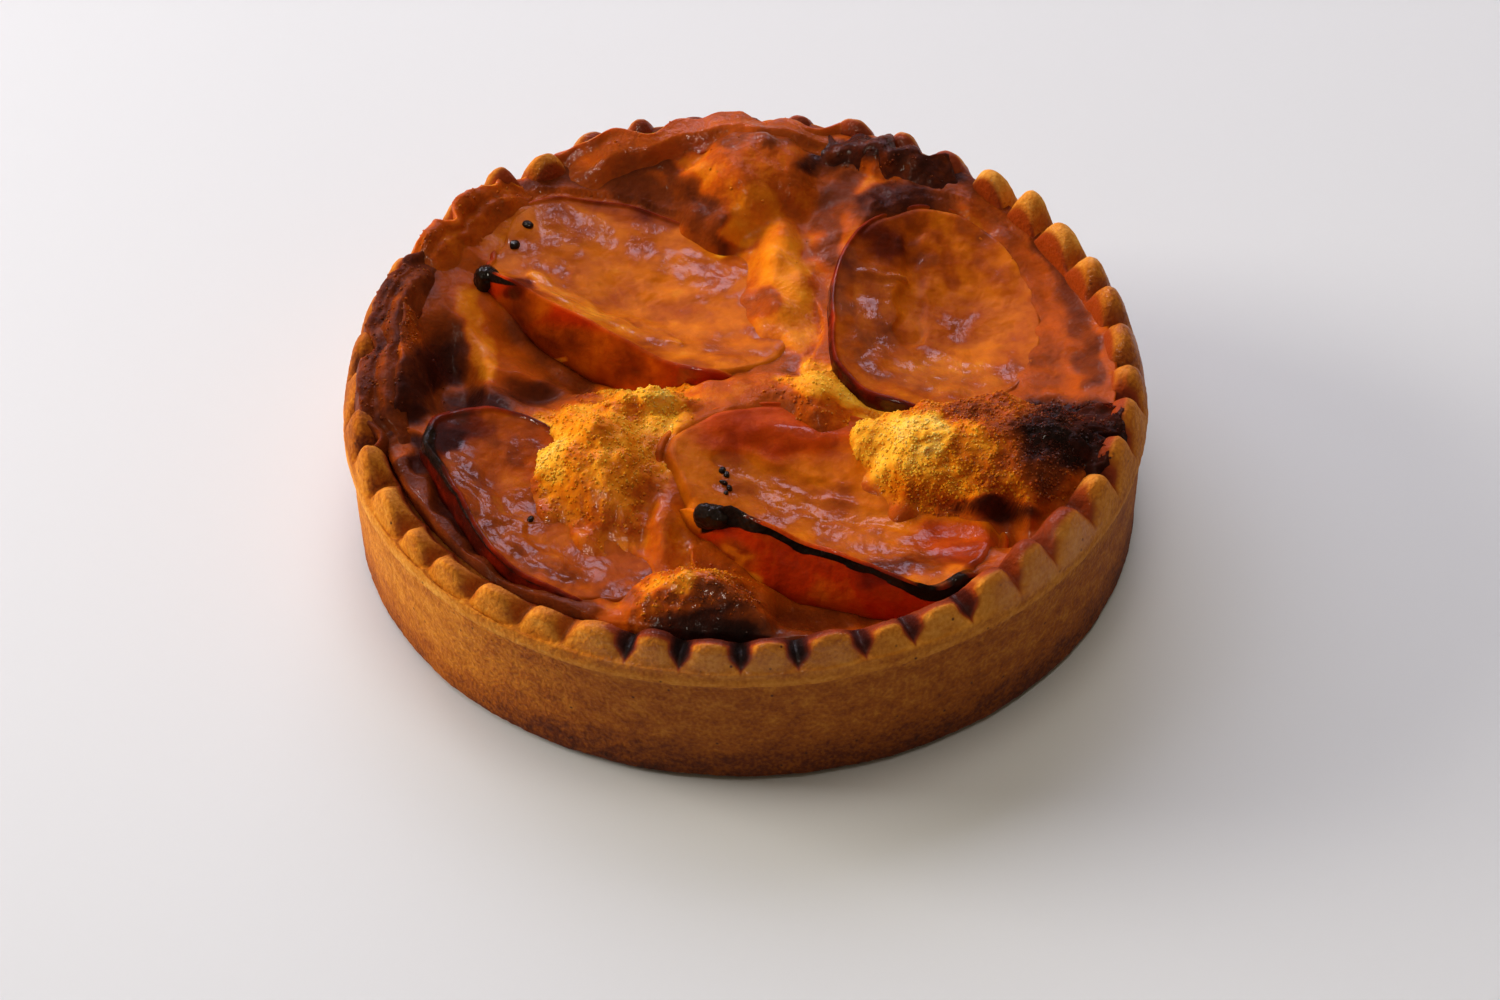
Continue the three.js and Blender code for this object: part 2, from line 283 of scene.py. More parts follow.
# %% Baked relief tree
RELIEFS = ("Lump", "Grain", "Pebble")
sizes = {f"{relief} {measure}": "Float" for relief in RELIEFS for measure in ("size", "depth")}
relief_tree, given = new_tree(
    "Baked relief", {"Geometry": "Geometry", **sizes, "Seed": "Float", "Finish": "Material"}
)
surface = given["Geometry"]
for relief in RELIEFS:
    scale = add(relief_tree, "ShaderNodeMath", {0: 1.0, 1: given[f"{relief} size"]}, operation="DIVIDE")
    if relief == "Pebble":
        pattern = add(
            relief_tree,
            "ShaderNodeTexVoronoi",
            {"W": given["Seed"], "Scale": scale, "Smoothness": 0.35},
            voronoi_dimensions="4D",
            feature="SMOOTH_F1",
        )
        height = add(relief_tree, "ShaderNodeMath", {0: 0.45, 1: pattern}, operation="SUBTRACT")
    else:
        pattern = add(
            relief_tree,
            "ShaderNodeTexNoise",
            {"W": given["Seed"], "Scale": scale, "Detail": 2.0},
            noise_dimensions="4D",
        )
        height = add(relief_tree, "ShaderNodeMath", {0: pattern, 1: 0.5}, operation="SUBTRACT")
    where = add(relief_tree, "GeometryNodeInputNamedAttribute", {"Name": relief.lower()}, data_type="FLOAT")
    deep = add(
        relief_tree, "ShaderNodeMath", {0: height, 1: given[f"{relief} depth"]}, operation="MULTIPLY"
    )
    masked = add(relief_tree, "ShaderNodeMath", {0: deep, 1: where}, operation="MULTIPLY")
    normal = add(relief_tree, "GeometryNodeInputNormal")
    offset = add(relief_tree, "ShaderNodeVectorMath", {0: normal, "Scale": masked}, operation="SCALE")
    surface = add(relief_tree, "GeometryNodeSetPosition", {"Geometry": surface, "Offset": offset})
surface = add(relief_tree, "GeometryNodeRealizeInstances", {"Geometry": surface})
surface = add(
    relief_tree, "GeometryNodeSetMaterial", {"Geometry": surface, "Material": given["Finish"]}
)
add(relief_tree, "NodeGroupOutput", {"Geometry": surface})


def roughen(piece, finish, seed, lump, grain, pebble=(1, 0)):
    """Sends a piece through the relief tree. Each pattern is given by its size and depth in mm."""
    inputs = {"Seed": float(seed), "Finish": finish}
    for relief, (size, depth) in zip(RELIEFS, (lump, grain, pebble)):
        inputs[f"{relief} size"] = size * MM
        inputs[f"{relief} depth"] = depth * MM
    return run_tree(piece, relief_tree, inputs)


print("relief tree:", len(relief_tree.nodes), "nodes")

# %% [markdown]
# ## Shortcrust
# Shortcrust bakes to a sandy, matt gold: browner low on the wall, where it touches the tin, and darker
# there with painted shade too, where the wall meets the floor; paler where the rim stands proud. Fine
# pits, painted dark as painted shade, and darker flecks break it up. Where fruit juice has run into
# the rim and boiled, it has turned to a dark, glossy caramel.

# %% Shortcrust material
SANDY_GRAIN = 0.5  # mm, drawn coarser than the real flour grain so that it shows
BROWNED_PATCH = 3.0  # mm
STREAK = 1.6  # how much flatter than wide the browned patches are
PIT_SPACING = 2.6  # mm


def shortcrust():
    """Matt, sandy pastry with pits painted dark as painted shade, and caramel and gloss where the fields
    say so.
    """
    material = new_material("shortcrust_pastry_baked_in_a_tin")
    tree = material.node_tree
    place = add(tree, "ShaderNodeTexCoord").outputs["Object"]
    flattened = add(tree, "ShaderNodeVectorMath", {0: place, 1: (1.0, 1.0, STREAK)}, operation="MULTIPLY")
    patches = add(
        tree, "ShaderNodeTexNoise", {"Vector": flattened, "Scale": 1 / (BROWNED_PATCH * MM), "Detail": 5.0}
    )
    grain = add(
        tree, "ShaderNodeTexNoise", {"Vector": place, "Scale": 1 / (SANDY_GRAIN * MM), "Detail": 3.0}
    )
    pits = add(
        tree, "ShaderNodeTexVoronoi", {"Vector": place, "Scale": 1 / (PIT_SPACING * MM), "Randomness": 1.0}
    )
    # This field holds the baking, and also painted light and shade.
    baked = add(tree, "ShaderNodeAttribute", attribute_name="bake_light_and_shade").outputs["Fac"]
    caramel_and_shade = add(tree, "ShaderNodeAttribute", attribute_name="caramel_and_shade").outputs["Fac"]
    glaze = add(tree, "ShaderNodeAttribute", attribute_name="glaze").outputs["Fac"]
    speckle = add(tree, "ShaderNodeMath", {0: grain, 1: 0.6, 2: -0.3}, operation="MULTIPLY_ADD")
    patchy = add(tree, "ShaderNodeMath", {0: patches, 1: 0.56, 2: -0.28}, operation="MULTIPLY_ADD")
    mottle = add(tree, "ShaderNodeMath", {0: speckle, 1: patchy}, operation="ADD")
    doneness_light_and_shade = add(tree, "ShaderNodeMath", {0: baked, 1: mottle}, operation="ADD")
    crust = add(
        tree,
        "ShaderNodeValToRGB",
        {"Fac": doneness_light_and_shade},
        stops=[(0.0, "#e09c3c"), (0.3, "#c87a1c"), (0.55, "#a25408"), (0.8, "#6a2c03"), (1.0, "#341102")],
    )
    # The pits have no depth: each is painted dark, a painted shade for the inside of the pit.
    pit_shade = add(tree, "ShaderNodeMapRange", {"Value": pits, "From Min": 0.03, "From Max": 0.1})
    with_pit_shade = add(
        tree,
        "ShaderNodeMix",
        {"Factor": pit_shade, "A": linear("#4a240a"), "B": crust},
        data_type="RGBA",
    )
    juicy = add(
        tree,
        "ShaderNodeValToRGB",
        {"Fac": caramel_and_shade},
        stops=[(0.0, "#b4600c"), (0.35, "#8e3406"), (0.65, "#481003"), (1.0, "#160401")],
    )
    soaked = add(tree, "ShaderNodeMapRange", {"Value": caramel_and_shade, "From Min": 0.05, "From Max": 0.3})
    colour = add(tree, "ShaderNodeMix", {"Factor": soaked, "A": with_pit_shade, "B": juicy}, data_type="RGBA")
    relief = add(tree, "ShaderNodeBump", {"Height": grain, "Strength": 0.7, "Distance": 0.3 * MM})
    shader = add(
        tree,
        "ShaderNodeBsdfPrincipled",
        {
            "Base Color": colour,
            "Roughness": 0.75,
            "IOR": 1.45,
            "Specular IOR Level": 0.3,
            "Coat Weight": glaze,
            "Coat Roughness": 0.12,
            "Coat IOR": 1.45,
            "Coat Normal": relief,
            "Subsurface Weight": 0.08,
            "Subsurface Radius": (1.2 * MM, 0.6 * MM, 0.25 * MM),
            "Subsurface Scale": 1.0,
            "Normal": relief,
        },
    )
    add(tree, "ShaderNodeOutputMaterial", {"Surface": shader})
    return material


SHORTCRUST = shortcrust()
print(SHORTCRUST.name, len(SHORTCRUST.node_tree.nodes), "nodes")

# %% [markdown]
# ## Pastry case
# The rim of the case was pressed by hand into 43 scallops, with a sharp notch between each two. That is
# a rule, so a geometry tree makes it. Two sections, one through a notch and one through a crown, are
# lists of points. The tree lays out a grid, reads both sections row by row, mixes them by how far each
# column stands from its notch, and bends the grid round into a closed case.

# %% Case sections, in millimetres
SCALLOPS = 43
SCALLOP_STEPS = 20
LIP_RADIUS = 50.0
LIP_HEIGHT = 16.3
LIP_THICKNESS = 0.8
LIP_UNDERCUT = 0.5
BASE_RADIUS = 49.5
BASE_CORNER = 0.7
WALL_TOP_RADIUS = 49.4
CASE_FLOOR = 3.5
INNER_FOOT_RADIUS = 43.6
INNER_TOP_RADIUS = 45.0
INNER_EDGE_HEIGHT = 20.0
NOTCH_HEIGHT = 19.9
CROWN_HEIGHT = 23.8
CROWN_RADIUS = 47.3
SECTION_STEPS = (3, 4, 26, 4, 5, 6, 6, 7, 6, 6, 7, 3, 6, 2)  # rows between neighbouring corners
SECTION_ROUNDING = 5  # passes that soften the corners


def case_section(press):
    """Rows of a section from the middle of the base to that of the inside: radius, lift and height."""
    stand = press * (CROWN_HEIGHT - NOTCH_HEIGHT)
    corners = np.array(
        [
            (0, 0, 0),
            (BASE_RADIUS - BASE_CORNER, 0, 0),
            (BASE_RADIUS, 0, BASE_CORNER),
            (WALL_TOP_RADIUS, 0, LIP_HEIGHT - LIP_UNDERCUT),
            (LIP_RADIUS, 0, LIP_HEIGHT),
            (LIP_RADIUS, 0, LIP_HEIGHT + LIP_THICKNESS),
            (LIP_RADIUS - 0.3, 0.15, LIP_HEIGHT + 2.2 + 0.1 * stand),
            (LIP_RADIUS - 1.1 + 0.3 * press, 0.4, NOTCH_HEIGHT - 0.5 + 0.4 * stand),
            (LIP_RADIUS - 2.0 + 0.4 * press, 0.8, NOTCH_HEIGHT - 0.1 + 0.82 * stand),
            (CROWN_RADIUS, 1, NOTCH_HEIGHT + stand),
            (CROWN_RADIUS - 1.3, 0.85, NOTCH_HEIGHT + 0.82 * stand),
            (INNER_TOP_RADIUS + 0.2, 0.3, INNER_EDGE_HEIGHT + 0.3 * stand),
            (INNER_TOP_RADIUS, 0, INNER_EDGE_HEIGHT - 1),
            (INNER_FOOT_RADIUS, 0, CASE_FLOOR),
            (0, 0, CASE_FLOOR),
        ],
        float,
    )
    rows = np.concatenate([[0], np.cumsum(SECTION_STEPS)])
    section = np.stack([np.interp(np.arange(rows[-1] + 1), rows, c) for c in corners.T], 1)
    shoulder_row = rows[5]
    for _ in range(SECTION_ROUNDING):
        before, after = section[shoulder_row - 1 : -4], section[shoulder_row + 1 : -2]
        section[shoulder_row:-3] = (before + 2 * section[shoulder_row:-3] + after) / 4
    return section


notch_section = make_object("notch_section", case_section(0), [])
crown_section = make_object("crown_section", case_section(1), [])
CASE_ROWS = len(notch_section.data.vertices)
print("case sections of", CASE_ROWS, "rows")

# %% Angle of a notch
angle_tree, given = new_tree(
    "Notch angle",
    {
        "Number": "Float",
        "Scallops": "Float",
        "Front notch": "Float",
        "Front stretch": "Float",
        "Jitter": "Float",
    },
    ("Angle", "Float"),
)
pitch = add(angle_tree, "ShaderNodeMath", {0: math.tau, 1: given["Scallops"]}, operation="DIVIDE")
even = add(
    angle_tree,
    "ShaderNodeMath",
    {0: given["Number"], 1: pitch, 2: given["Front notch"]},
    operation="MULTIPLY_ADD",
)
facing = add(angle_tree, "ShaderNodeMath", {0: even}, operation="COSINE")
turn_number = add(
    angle_tree, "ShaderNodeMath", {0: given["Number"], 1: given["Scallops"]}, operation="FLOORED_MODULO"
)
beat = add(angle_tree, "ShaderNodeMath", {0: turn_number, 1: 2.4}, operation="MULTIPLY")
hand = add(angle_tree, "ShaderNodeMath", {0: beat}, operation="SINE")
slip = add(angle_tree, "ShaderNodeMath", {0: pitch, 1: given["Jitter"]}, operation="MULTIPLY")
stretched = add(
    angle_tree,
    "ShaderNodeMath",
    {0: facing, 1: given["Front stretch"], 2: even},
    operation="MULTIPLY_ADD",
)
uneven = add(angle_tree, "ShaderNodeMath", {0: hand, 1: slip, 2: stretched}, operation="MULTIPLY_ADD")
add(angle_tree, "NodeGroupOutput", {"Angle": uneven})
print("angle tree:", len(angle_tree.nodes), "nodes")

# %% Pastry case tree
case_tree, given = new_tree(
    "Pressed case",
    {
        "Scallops": "Float",
        "Steps": "Float",
        "Rows": "Float",
        "Notch section": "Object",
        "Crown section": "Object",
        "Front notch": "Float",
        "Front stretch": "Float",
        "Jitter": "Float",
        "Outer roundness": "Float",
        "Inner roundness": "Float",
        "Shoulder row": "Float",
        "Inner row": "Float",
        "Crown unevenness": "Float",
        "Back rise": "Float",
        "Crown lean": "Float",
        "Seed": "Int",
        "Finish": "Material",
    },
)
columns = add(case_tree, "ShaderNodeMath", {0: given["Scallops"], 1: given["Steps"]}, operation="MULTIPLY")
columns_closed = add(case_tree, "ShaderNodeMath", {0: columns, 1: 1.0}, operation="ADD")
row_gaps = add(case_tree, "ShaderNodeMath", {0: given["Rows"], 1: 1.0}, operation="SUBTRACT")
grid = add(
    case_tree,
    "GeometryNodeMeshGrid",
    {"Size X": 1.0, "Size Y": 1.0, "Vertices X": columns_closed, "Vertices Y": given["Rows"]},
)
spot = add(case_tree, "ShaderNodeSeparateXYZ", {0: add(case_tree, "GeometryNodeInputPosition")})
shares = []
for axis, gaps in (("X", columns), ("Y", row_gaps)):
    moved = add(case_tree, "ShaderNodeMath", {0: spot.outputs[axis], 1: 0.5}, operation="ADD")
    counted = add(case_tree, "ShaderNodeMath", {0: moved, 1: gaps}, operation="MULTIPLY")
    shares.append(add(case_tree, "ShaderNodeMath", {0: counted}, operation="ROUND"))
column, row = shares
scallop = add(case_tree, "ShaderNodeMath", {0: column, 1: given["Steps"]}, operation="DIVIDE")
number = add(case_tree, "ShaderNodeMath", {0: scallop}, operation="FLOOR")
step = add(case_tree, "ShaderNodeMath", {0: scallop}, operation="FRACT")
next_number = add(case_tree, "ShaderNodeMath", {0: number, 1: 1.0}, operation="ADD")
ends = []
for end in (number, next_number):
    notch = add(case_tree, "GeometryNodeGroup", node_tree=angle_tree)
    case_tree.links.new(end.outputs[0], notch.inputs["Number"])
    for label in ("Scallops", "Front notch", "Front stretch", "Jitter"):
        case_tree.links.new(given[label], notch.inputs[label])
    ends.append(notch)
angle = add(case_tree, "ShaderNodeMix", {"Factor": step, "A": ends[0], "B": ends[1]}, data_type="FLOAT")
middle = add(case_tree, "ShaderNodeMath", {0: step, 1: 2.0, 2: -1.0}, operation="MULTIPLY_ADD")
aside = add(case_tree, "ShaderNodeMath", {0: middle}, operation="ABSOLUTE")
roundness = add(
    case_tree,
    "ShaderNodeMapRange",
    {
        "Value": row,
        "From Min": given["Shoulder row"],
        "From Max": given["Inner row"],
        "To Min": given["Outer roundness"],
        "To Max": given["Inner roundness"],
    },
)
notched = add(case_tree, "ShaderNodeMath", {0: aside, 1: roundness}, operation="POWER")
press = add(case_tree, "ShaderNodeMath", {0: 1.0, 1: notched}, operation="SUBTRACT")
rows_read = []
for label in ("Notch section", "Crown section"):
    section = add(case_tree, "GeometryNodeObjectInfo", {"Object": given[label]})
    read = add(
        case_tree,
        "GeometryNodeSampleIndex",
        {
            "Geometry": section.outputs["Geometry"],
            "Value": add(case_tree, "GeometryNodeInputPosition"),
            "Index": row,
        },
        data_type="FLOAT_VECTOR",
    )
    rows_read.append(read)
mixed = add(
    case_tree,
    "ShaderNodeMix",
    {"Factor": press, "A": rows_read[0], "B": rows_read[1]},
    data_type="VECTOR",
)
mixed_parts = add(case_tree, "ShaderNodeSeparateXYZ", {0: mixed})
crown_parts = add(case_tree, "ShaderNodeSeparateXYZ", {0: rows_read[1]})
lifted = add(
    case_tree, "ShaderNodeMath", {0: crown_parts.outputs["Y"], 1: 1 / MM}, operation="MULTIPLY"
)
lift_share = add(case_tree, "ShaderNodeMath", {0: lifted, 1: press}, operation="MULTIPLY")
beat = add(case_tree, "ShaderNodeMath", {0: number, 1: 1.7, 2: 0.6}, operation="MULTIPLY_ADD")
own_height = add(case_tree, "ShaderNodeMath", {0: beat}, operation="SINE")
own_lift = add(
    case_tree, "ShaderNodeMath", {0: own_height, 1: given["Crown unevenness"]}, operation="MULTIPLY"
)
towards_back = add(case_tree, "ShaderNodeMath", {0: angle}, operation="SINE")
lift = add(
    case_tree,
    "ShaderNodeMath",
    {0: towards_back, 1: given["Back rise"], 2: own_lift},
    operation="MULTIPLY_ADD",
)
height = add(
    case_tree,
    "ShaderNodeMath",
    {0: lift, 1: lift_share, 2: mixed_parts.outputs["Z"]},
    operation="MULTIPLY_ADD",
)
lean = add(
    case_tree,
    "FunctionNodeRandomValue",
    {"Min": -1.0, "Max": 1.0, "ID": number, "Seed": given["Seed"]},
    data_type="FLOAT",
)
own_lean = add(case_tree, "ShaderNodeMath", {0: lean, 1: given["Crown lean"]}, operation="MULTIPLY")
radius = add(
    case_tree,
    "ShaderNodeMath",
    {0: own_lean, 1: lift_share, 2: mixed_parts.outputs["X"]},
    operation="MULTIPLY_ADD",
)
sideways = add(case_tree, "ShaderNodeMath", {0: angle}, operation="COSINE")
x = add(case_tree, "ShaderNodeMath", {0: radius, 1: sideways}, operation="MULTIPLY")
y = add(case_tree, "ShaderNodeMath", {0: radius, 1: towards_back}, operation="MULTIPLY")
bent = add(case_tree, "ShaderNodeCombineXYZ", {"X": x, "Y": y, "Z": height})
surface = add(
    case_tree,
    "GeometryNodeStoreNamedAttribute",
    {"Geometry": grid, "Name": "press", "Value": press},
    data_type="FLOAT",
    domain="POINT",
)
surface = add(case_tree, "GeometryNodeSetPosition", {"Geometry": surface, "Position": bent})
surface = add(case_tree, "GeometryNodeMergeByDistance", {"Geometry": surface, "Distance": 0.005 * MM})
surface = add(case_tree, "GeometryNodeSetShadeSmooth", {"Geometry": surface})
surface = add(case_tree, "GeometryNodeRealizeInstances", {"Geometry": surface})
surface = add(case_tree, "GeometryNodeSetMaterial", {"Geometry": surface, "Material": given["Finish"]})
add(case_tree, "NodeGroupOutput", {"Geometry": surface})
print("case tree:", len(case_tree.nodes), "nodes")

# %% Pastry case
case = run_tree(
    make_object("shortcrust_case", [], []),
    case_tree,
    {
        "Scallops": float(SCALLOPS),
        "Steps": float(SCALLOP_STEPS),
        "Rows": float(CASE_ROWS),
        "Notch section": notch_section,
        "Crown section": crown_section,
        "Front notch": math.radians(-91.5),
        "Front stretch": -0.04,
        "Jitter": -0.08,
        "Outer roundness": 2.8,
        "Inner roundness": 2.0,
        "Shoulder row": float(sum(SECTION_STEPS[:6])),
        "Inner row": float(sum(SECTION_STEPS[:11])),
        "Crown unevenness": 0.45 * MM,
        "Back rise": 0.9 * MM,
        "Crown lean": 0.5 * MM,
        "Seed": 3,
        "Finish": SHORTCRUST,
    },
)
for helper in (notch_section, crown_section):
    bpy.data.objects.remove(helper)
print("case of", len(case.data.vertices), "points")

# %% [markdown]
# ## Sagged rim
# Soft pastry sags as it bakes. Here the rim has sunk and leaned out at the front left, and stands
# highest at the back. A table gives the sag at angles round the rim, and moves the crowns more than the
# notches. It acts on the finished mesh, so the tree's rule stays one plain scallop.

# %% Sagged rim
RIM_SAGS = {  # how far the crowns have sagged in mm, at angles in degrees seen from above
    -165: 0.6, -150: 1.8, -138: 2.2, -125: 2.0, -110: 1.3, -85: 1.4, -62: 1.2, -48: 0.3, -38: 0,
    15: 0, 30: -0.5, 55: -0.6, 75: -0.2, 95: -0.2, 115: -0.9, 145: -0.9, 165: -0.2, 180: 0.2,
}
SAG_SPREAD = 0.4  # how far out a crown leans for each millimetre that it has sagged
NOTCH_SAG = 0.8  # a notch's share of the sag


def at_angle(table, angle):
    """A value from a table of degrees, at each angle between them."""
    return np.interp(np.degrees(angle), list(table), list(table.values()), period=360)


points = points_of(case)
unsagged = points[:, 2].copy()
angle = np.arctan2(points[:, 1], points[:, 0])
radius = np.hypot(points[:, 0], points[:, 1])
press_field = np.empty(len(points), np.float32)
case.data.attributes["press"].data.foreach_get("value", press_field)
sag = at_angle(RIM_SAGS, angle)
soft = fade(points[:, 2], LIP_HEIGHT + 1.5, NOTCH_HEIGHT)
inside_lip = fade(radius, LIP_RADIUS - 0.6, CROWN_RADIUS)
leaned_out = SAG_SPREAD * np.maximum(sag, 0) * press_field * soft * inside_lip
points[:, 2] -= soft * np.where(sag > 0, NOTCH_SAG + (1 - NOTCH_SAG) * press_field, press_field) * sag
points[:, :2] *= (1 + leaned_out / np.maximum(radius, 1))[:, None]
case.data.vertices.foreach_set("co", (points * MM).ravel())
print("the rim sags by", round(float(sag.max()), 1), "mm at most")

# %% [markdown]
# ## Where the case is browned and caramelised, and where light and shade are painted
# Browning follows the heat: the notches are darkest and the crowns palest. The foot of the wall is
# darker by browning and by painted shade where it meets the floor. The lip's edge has a painted
# highlight, the wall's left side is painted lighter where the light falls on it, and the front left
# notches get painted shade. Juice has boiled over into the front notches, over the teeth at the front
# right and along the back. Each of these is a stretch of the rim, given by its middle and half-width
# in degrees.

# %% Case fields
CARAMEL_STRETCHES = [  # middle and half-width in degrees, amount on the crowns, amount in the notches
    (-94, 17, 0.0, 1.0),
    (-68, 12, 0.0, 0.8),
    # The front left stretch is painted shade in the notches, laid in caramel colours.
    (-128, 24, 0.0, 0.22),
    (-44, 13, 0.3, 0.55),
    (95, 24, 0.4, 0.6),
    (62, 14, 0.2, 0.6),
    (150, 26, 0.12, 0.5),
    (-18, 12, 0.15, 0.5),
    (20, 22, 0.0, 0.2),
]
GLAZED_STRETCHES = [(-44, 11, 0.5), (-94, 20, 0.5), (95, 26, 0.7), (62, 14, 0.5), (8, 14, 0.4)]  # and gloss
BAKED_STRETCHES = [(-52, 22, -0.1), (38, 18, -0.24), (178, 20, 0.22), (5, 13, 0.14)]  # and how much darker
RIM_START = (17.2, 18.6)  # heights in mm between which the wall turns into rim
STAIN_HEIGHTS = (21.5, 18.2)  # heights in mm from a stain's wide top to its point
STAIN_NARROWING = 0.75  # how much narrower it is at that point
STAIN_EDGE = (0.9, 0.4)  # shares of a scallop's height between which it fades in
STAIN_REACH = (50.3, 49.5)  # radii in mm between which it fades in
INNER_SLOPE = (48.1, 46.8)  # radii in mm between which the crowns turn inwards
INNER_STAIN = 0.6  # how much of a stain the inner slope has
SOAKED_EDGE = (46.4, 45.4)  # radii in mm of the edge that the filling has soaked
SOAKED = 0.35
STAIN_GLOSS = 0.12
GLOSSY_EDGE = (46.8, 45.8)  # radii in mm of the edge that syrup has wetted
EDGE_GLOSS = 0.5
WALL_BAKED = 0.52
# The foot of the wall is darker: partly browning, partly painted shade where the wall meets the floor.
FOOT_BROWNED_AND_SHADED = 0.3
FOOT_HEIGHTS = (9, 0)  # mm, from where the wall darkens to where it is darkest
RIM_PALER = 0.1
RIM_HEIGHTS = (15.5, 17.5)  # mm, from where the wall pales to where it is palest
# A painted highlight: a pale line along the lip's edge, where it catches the light.
LIP_HIGHLIGHT = 0.2
NOTCH_DARKER = 0.25
CROWN_PALER = 0.08
# Painted light: the left side of the wall is painted lighter, where the light from the left falls on it.
WALL_PAINTED_LIGHT = 0.16
LIT_WALL_STRETCH = (185, 50)  # middle and half-width of the paler stretch in degrees


def rim_stretch(angle, middle, half):
    """1 on a stretch of the rim, given in degrees, and 0 away from it."""
    away = np.abs((np.degrees(angle) - middle + 180) % 360 - 180)
    return fade(away, half * 1.15, half * 0.75)


height = points[:, 2]
on_rim = fade(unsagged, *RIM_START) * (radius > INNER_TOP_RADIUS - 0.5)
in_notch = fade(press_field + STAIN_NARROWING * fade(unsagged, *STAIN_HEIGHTS), *STAIN_EDGE)
inner_slope = fade(radius, *INNER_SLOPE)
deep = np.maximum(in_notch * fade(radius, *STAIN_REACH), INNER_STAIN * inner_slope)
caramel_and_shade = np.zeros(len(points))
for middle, half, on_crown, notched in CARAMEL_STRETCHES:
    amount = on_crown * (0.4 + 0.6 * inner_slope) + (notched - on_crown) * deep
    caramel_and_shade = np.maximum(caramel_and_shade, rim_stretch(angle, middle, half) * amount * on_rim)
caramel_and_shade = np.maximum(caramel_and_shade, SOAKED * on_rim * fade(radius, *SOAKED_EDGE))
wet_edge = EDGE_GLOSS * on_rim * fade(radius, *GLOSSY_EDGE)
glaze = np.maximum(STAIN_GLOSS * fade(caramel_and_shade, 0.1, 0.6), wet_edge)
for middle, half, gloss in GLAZED_STRETCHES:
    glaze = np.maximum(glaze, gloss * rim_stretch(angle, middle, half) * on_rim)
# Painted highlight along the lip's edge.
lip_highlight = np.exp(-(((height - LIP_HEIGHT - 0.4) / 0.5) ** 2)) * (radius > LIP_RADIUS - 0.6)
bake_light_and_shade = WALL_BAKED + FOOT_BROWNED_AND_SHADED * fade(height, *FOOT_HEIGHTS) - RIM_PALER * fade(height, *RIM_HEIGHTS)
bake_light_and_shade -= LIP_HIGHLIGHT * lip_highlight
bake_light_and_shade += (NOTCH_DARKER * in_notch - CROWN_PALER) * on_rim
for middle, half, darker in BAKED_STRETCHES:
    bake_light_and_shade += darker * rim_stretch(angle, middle, half) * on_rim
# Painted light on the left side of the wall.
bake_light_and_shade -= WALL_PAINTED_LIGHT * rim_stretch(angle, *LIT_WALL_STRETCH) * (1 - on_rim)
set_field(case, "caramel_and_shade", caramel_and_shade)
set_field(case, "bake_light_and_shade", bake_light_and_shade)
set_field(case, "glaze", glaze)
above_floor = height > 0.05  # the base stays flat
set_field(case, "lump", above_floor)
set_field(case, "grain", above_floor)
case = roughen(case, SHORTCRUST, 1, lump=(9, 0.5), grain=(1.1, 0.3))
hand_over(case, "shortcrust_pastry", "pastry_case")

# %% [markdown]
# ## Almond filling
# Sponge-like filling has risen between the fruit in domes. Their tops are dry and crumbly, from yellow
# through gold to burnt black, and the hollows between them are wet with syrup. A colour ramp runs
# through those stages of baking, and a field on the mesh says how far each spot has gone. The same
# field also darkens some valleys and the ground under overhangs and rims, as painted shade.

# %% Almond filling material
CRUMB = 0.7  # mm
SCORCH_PATCH = 4.0  # mm


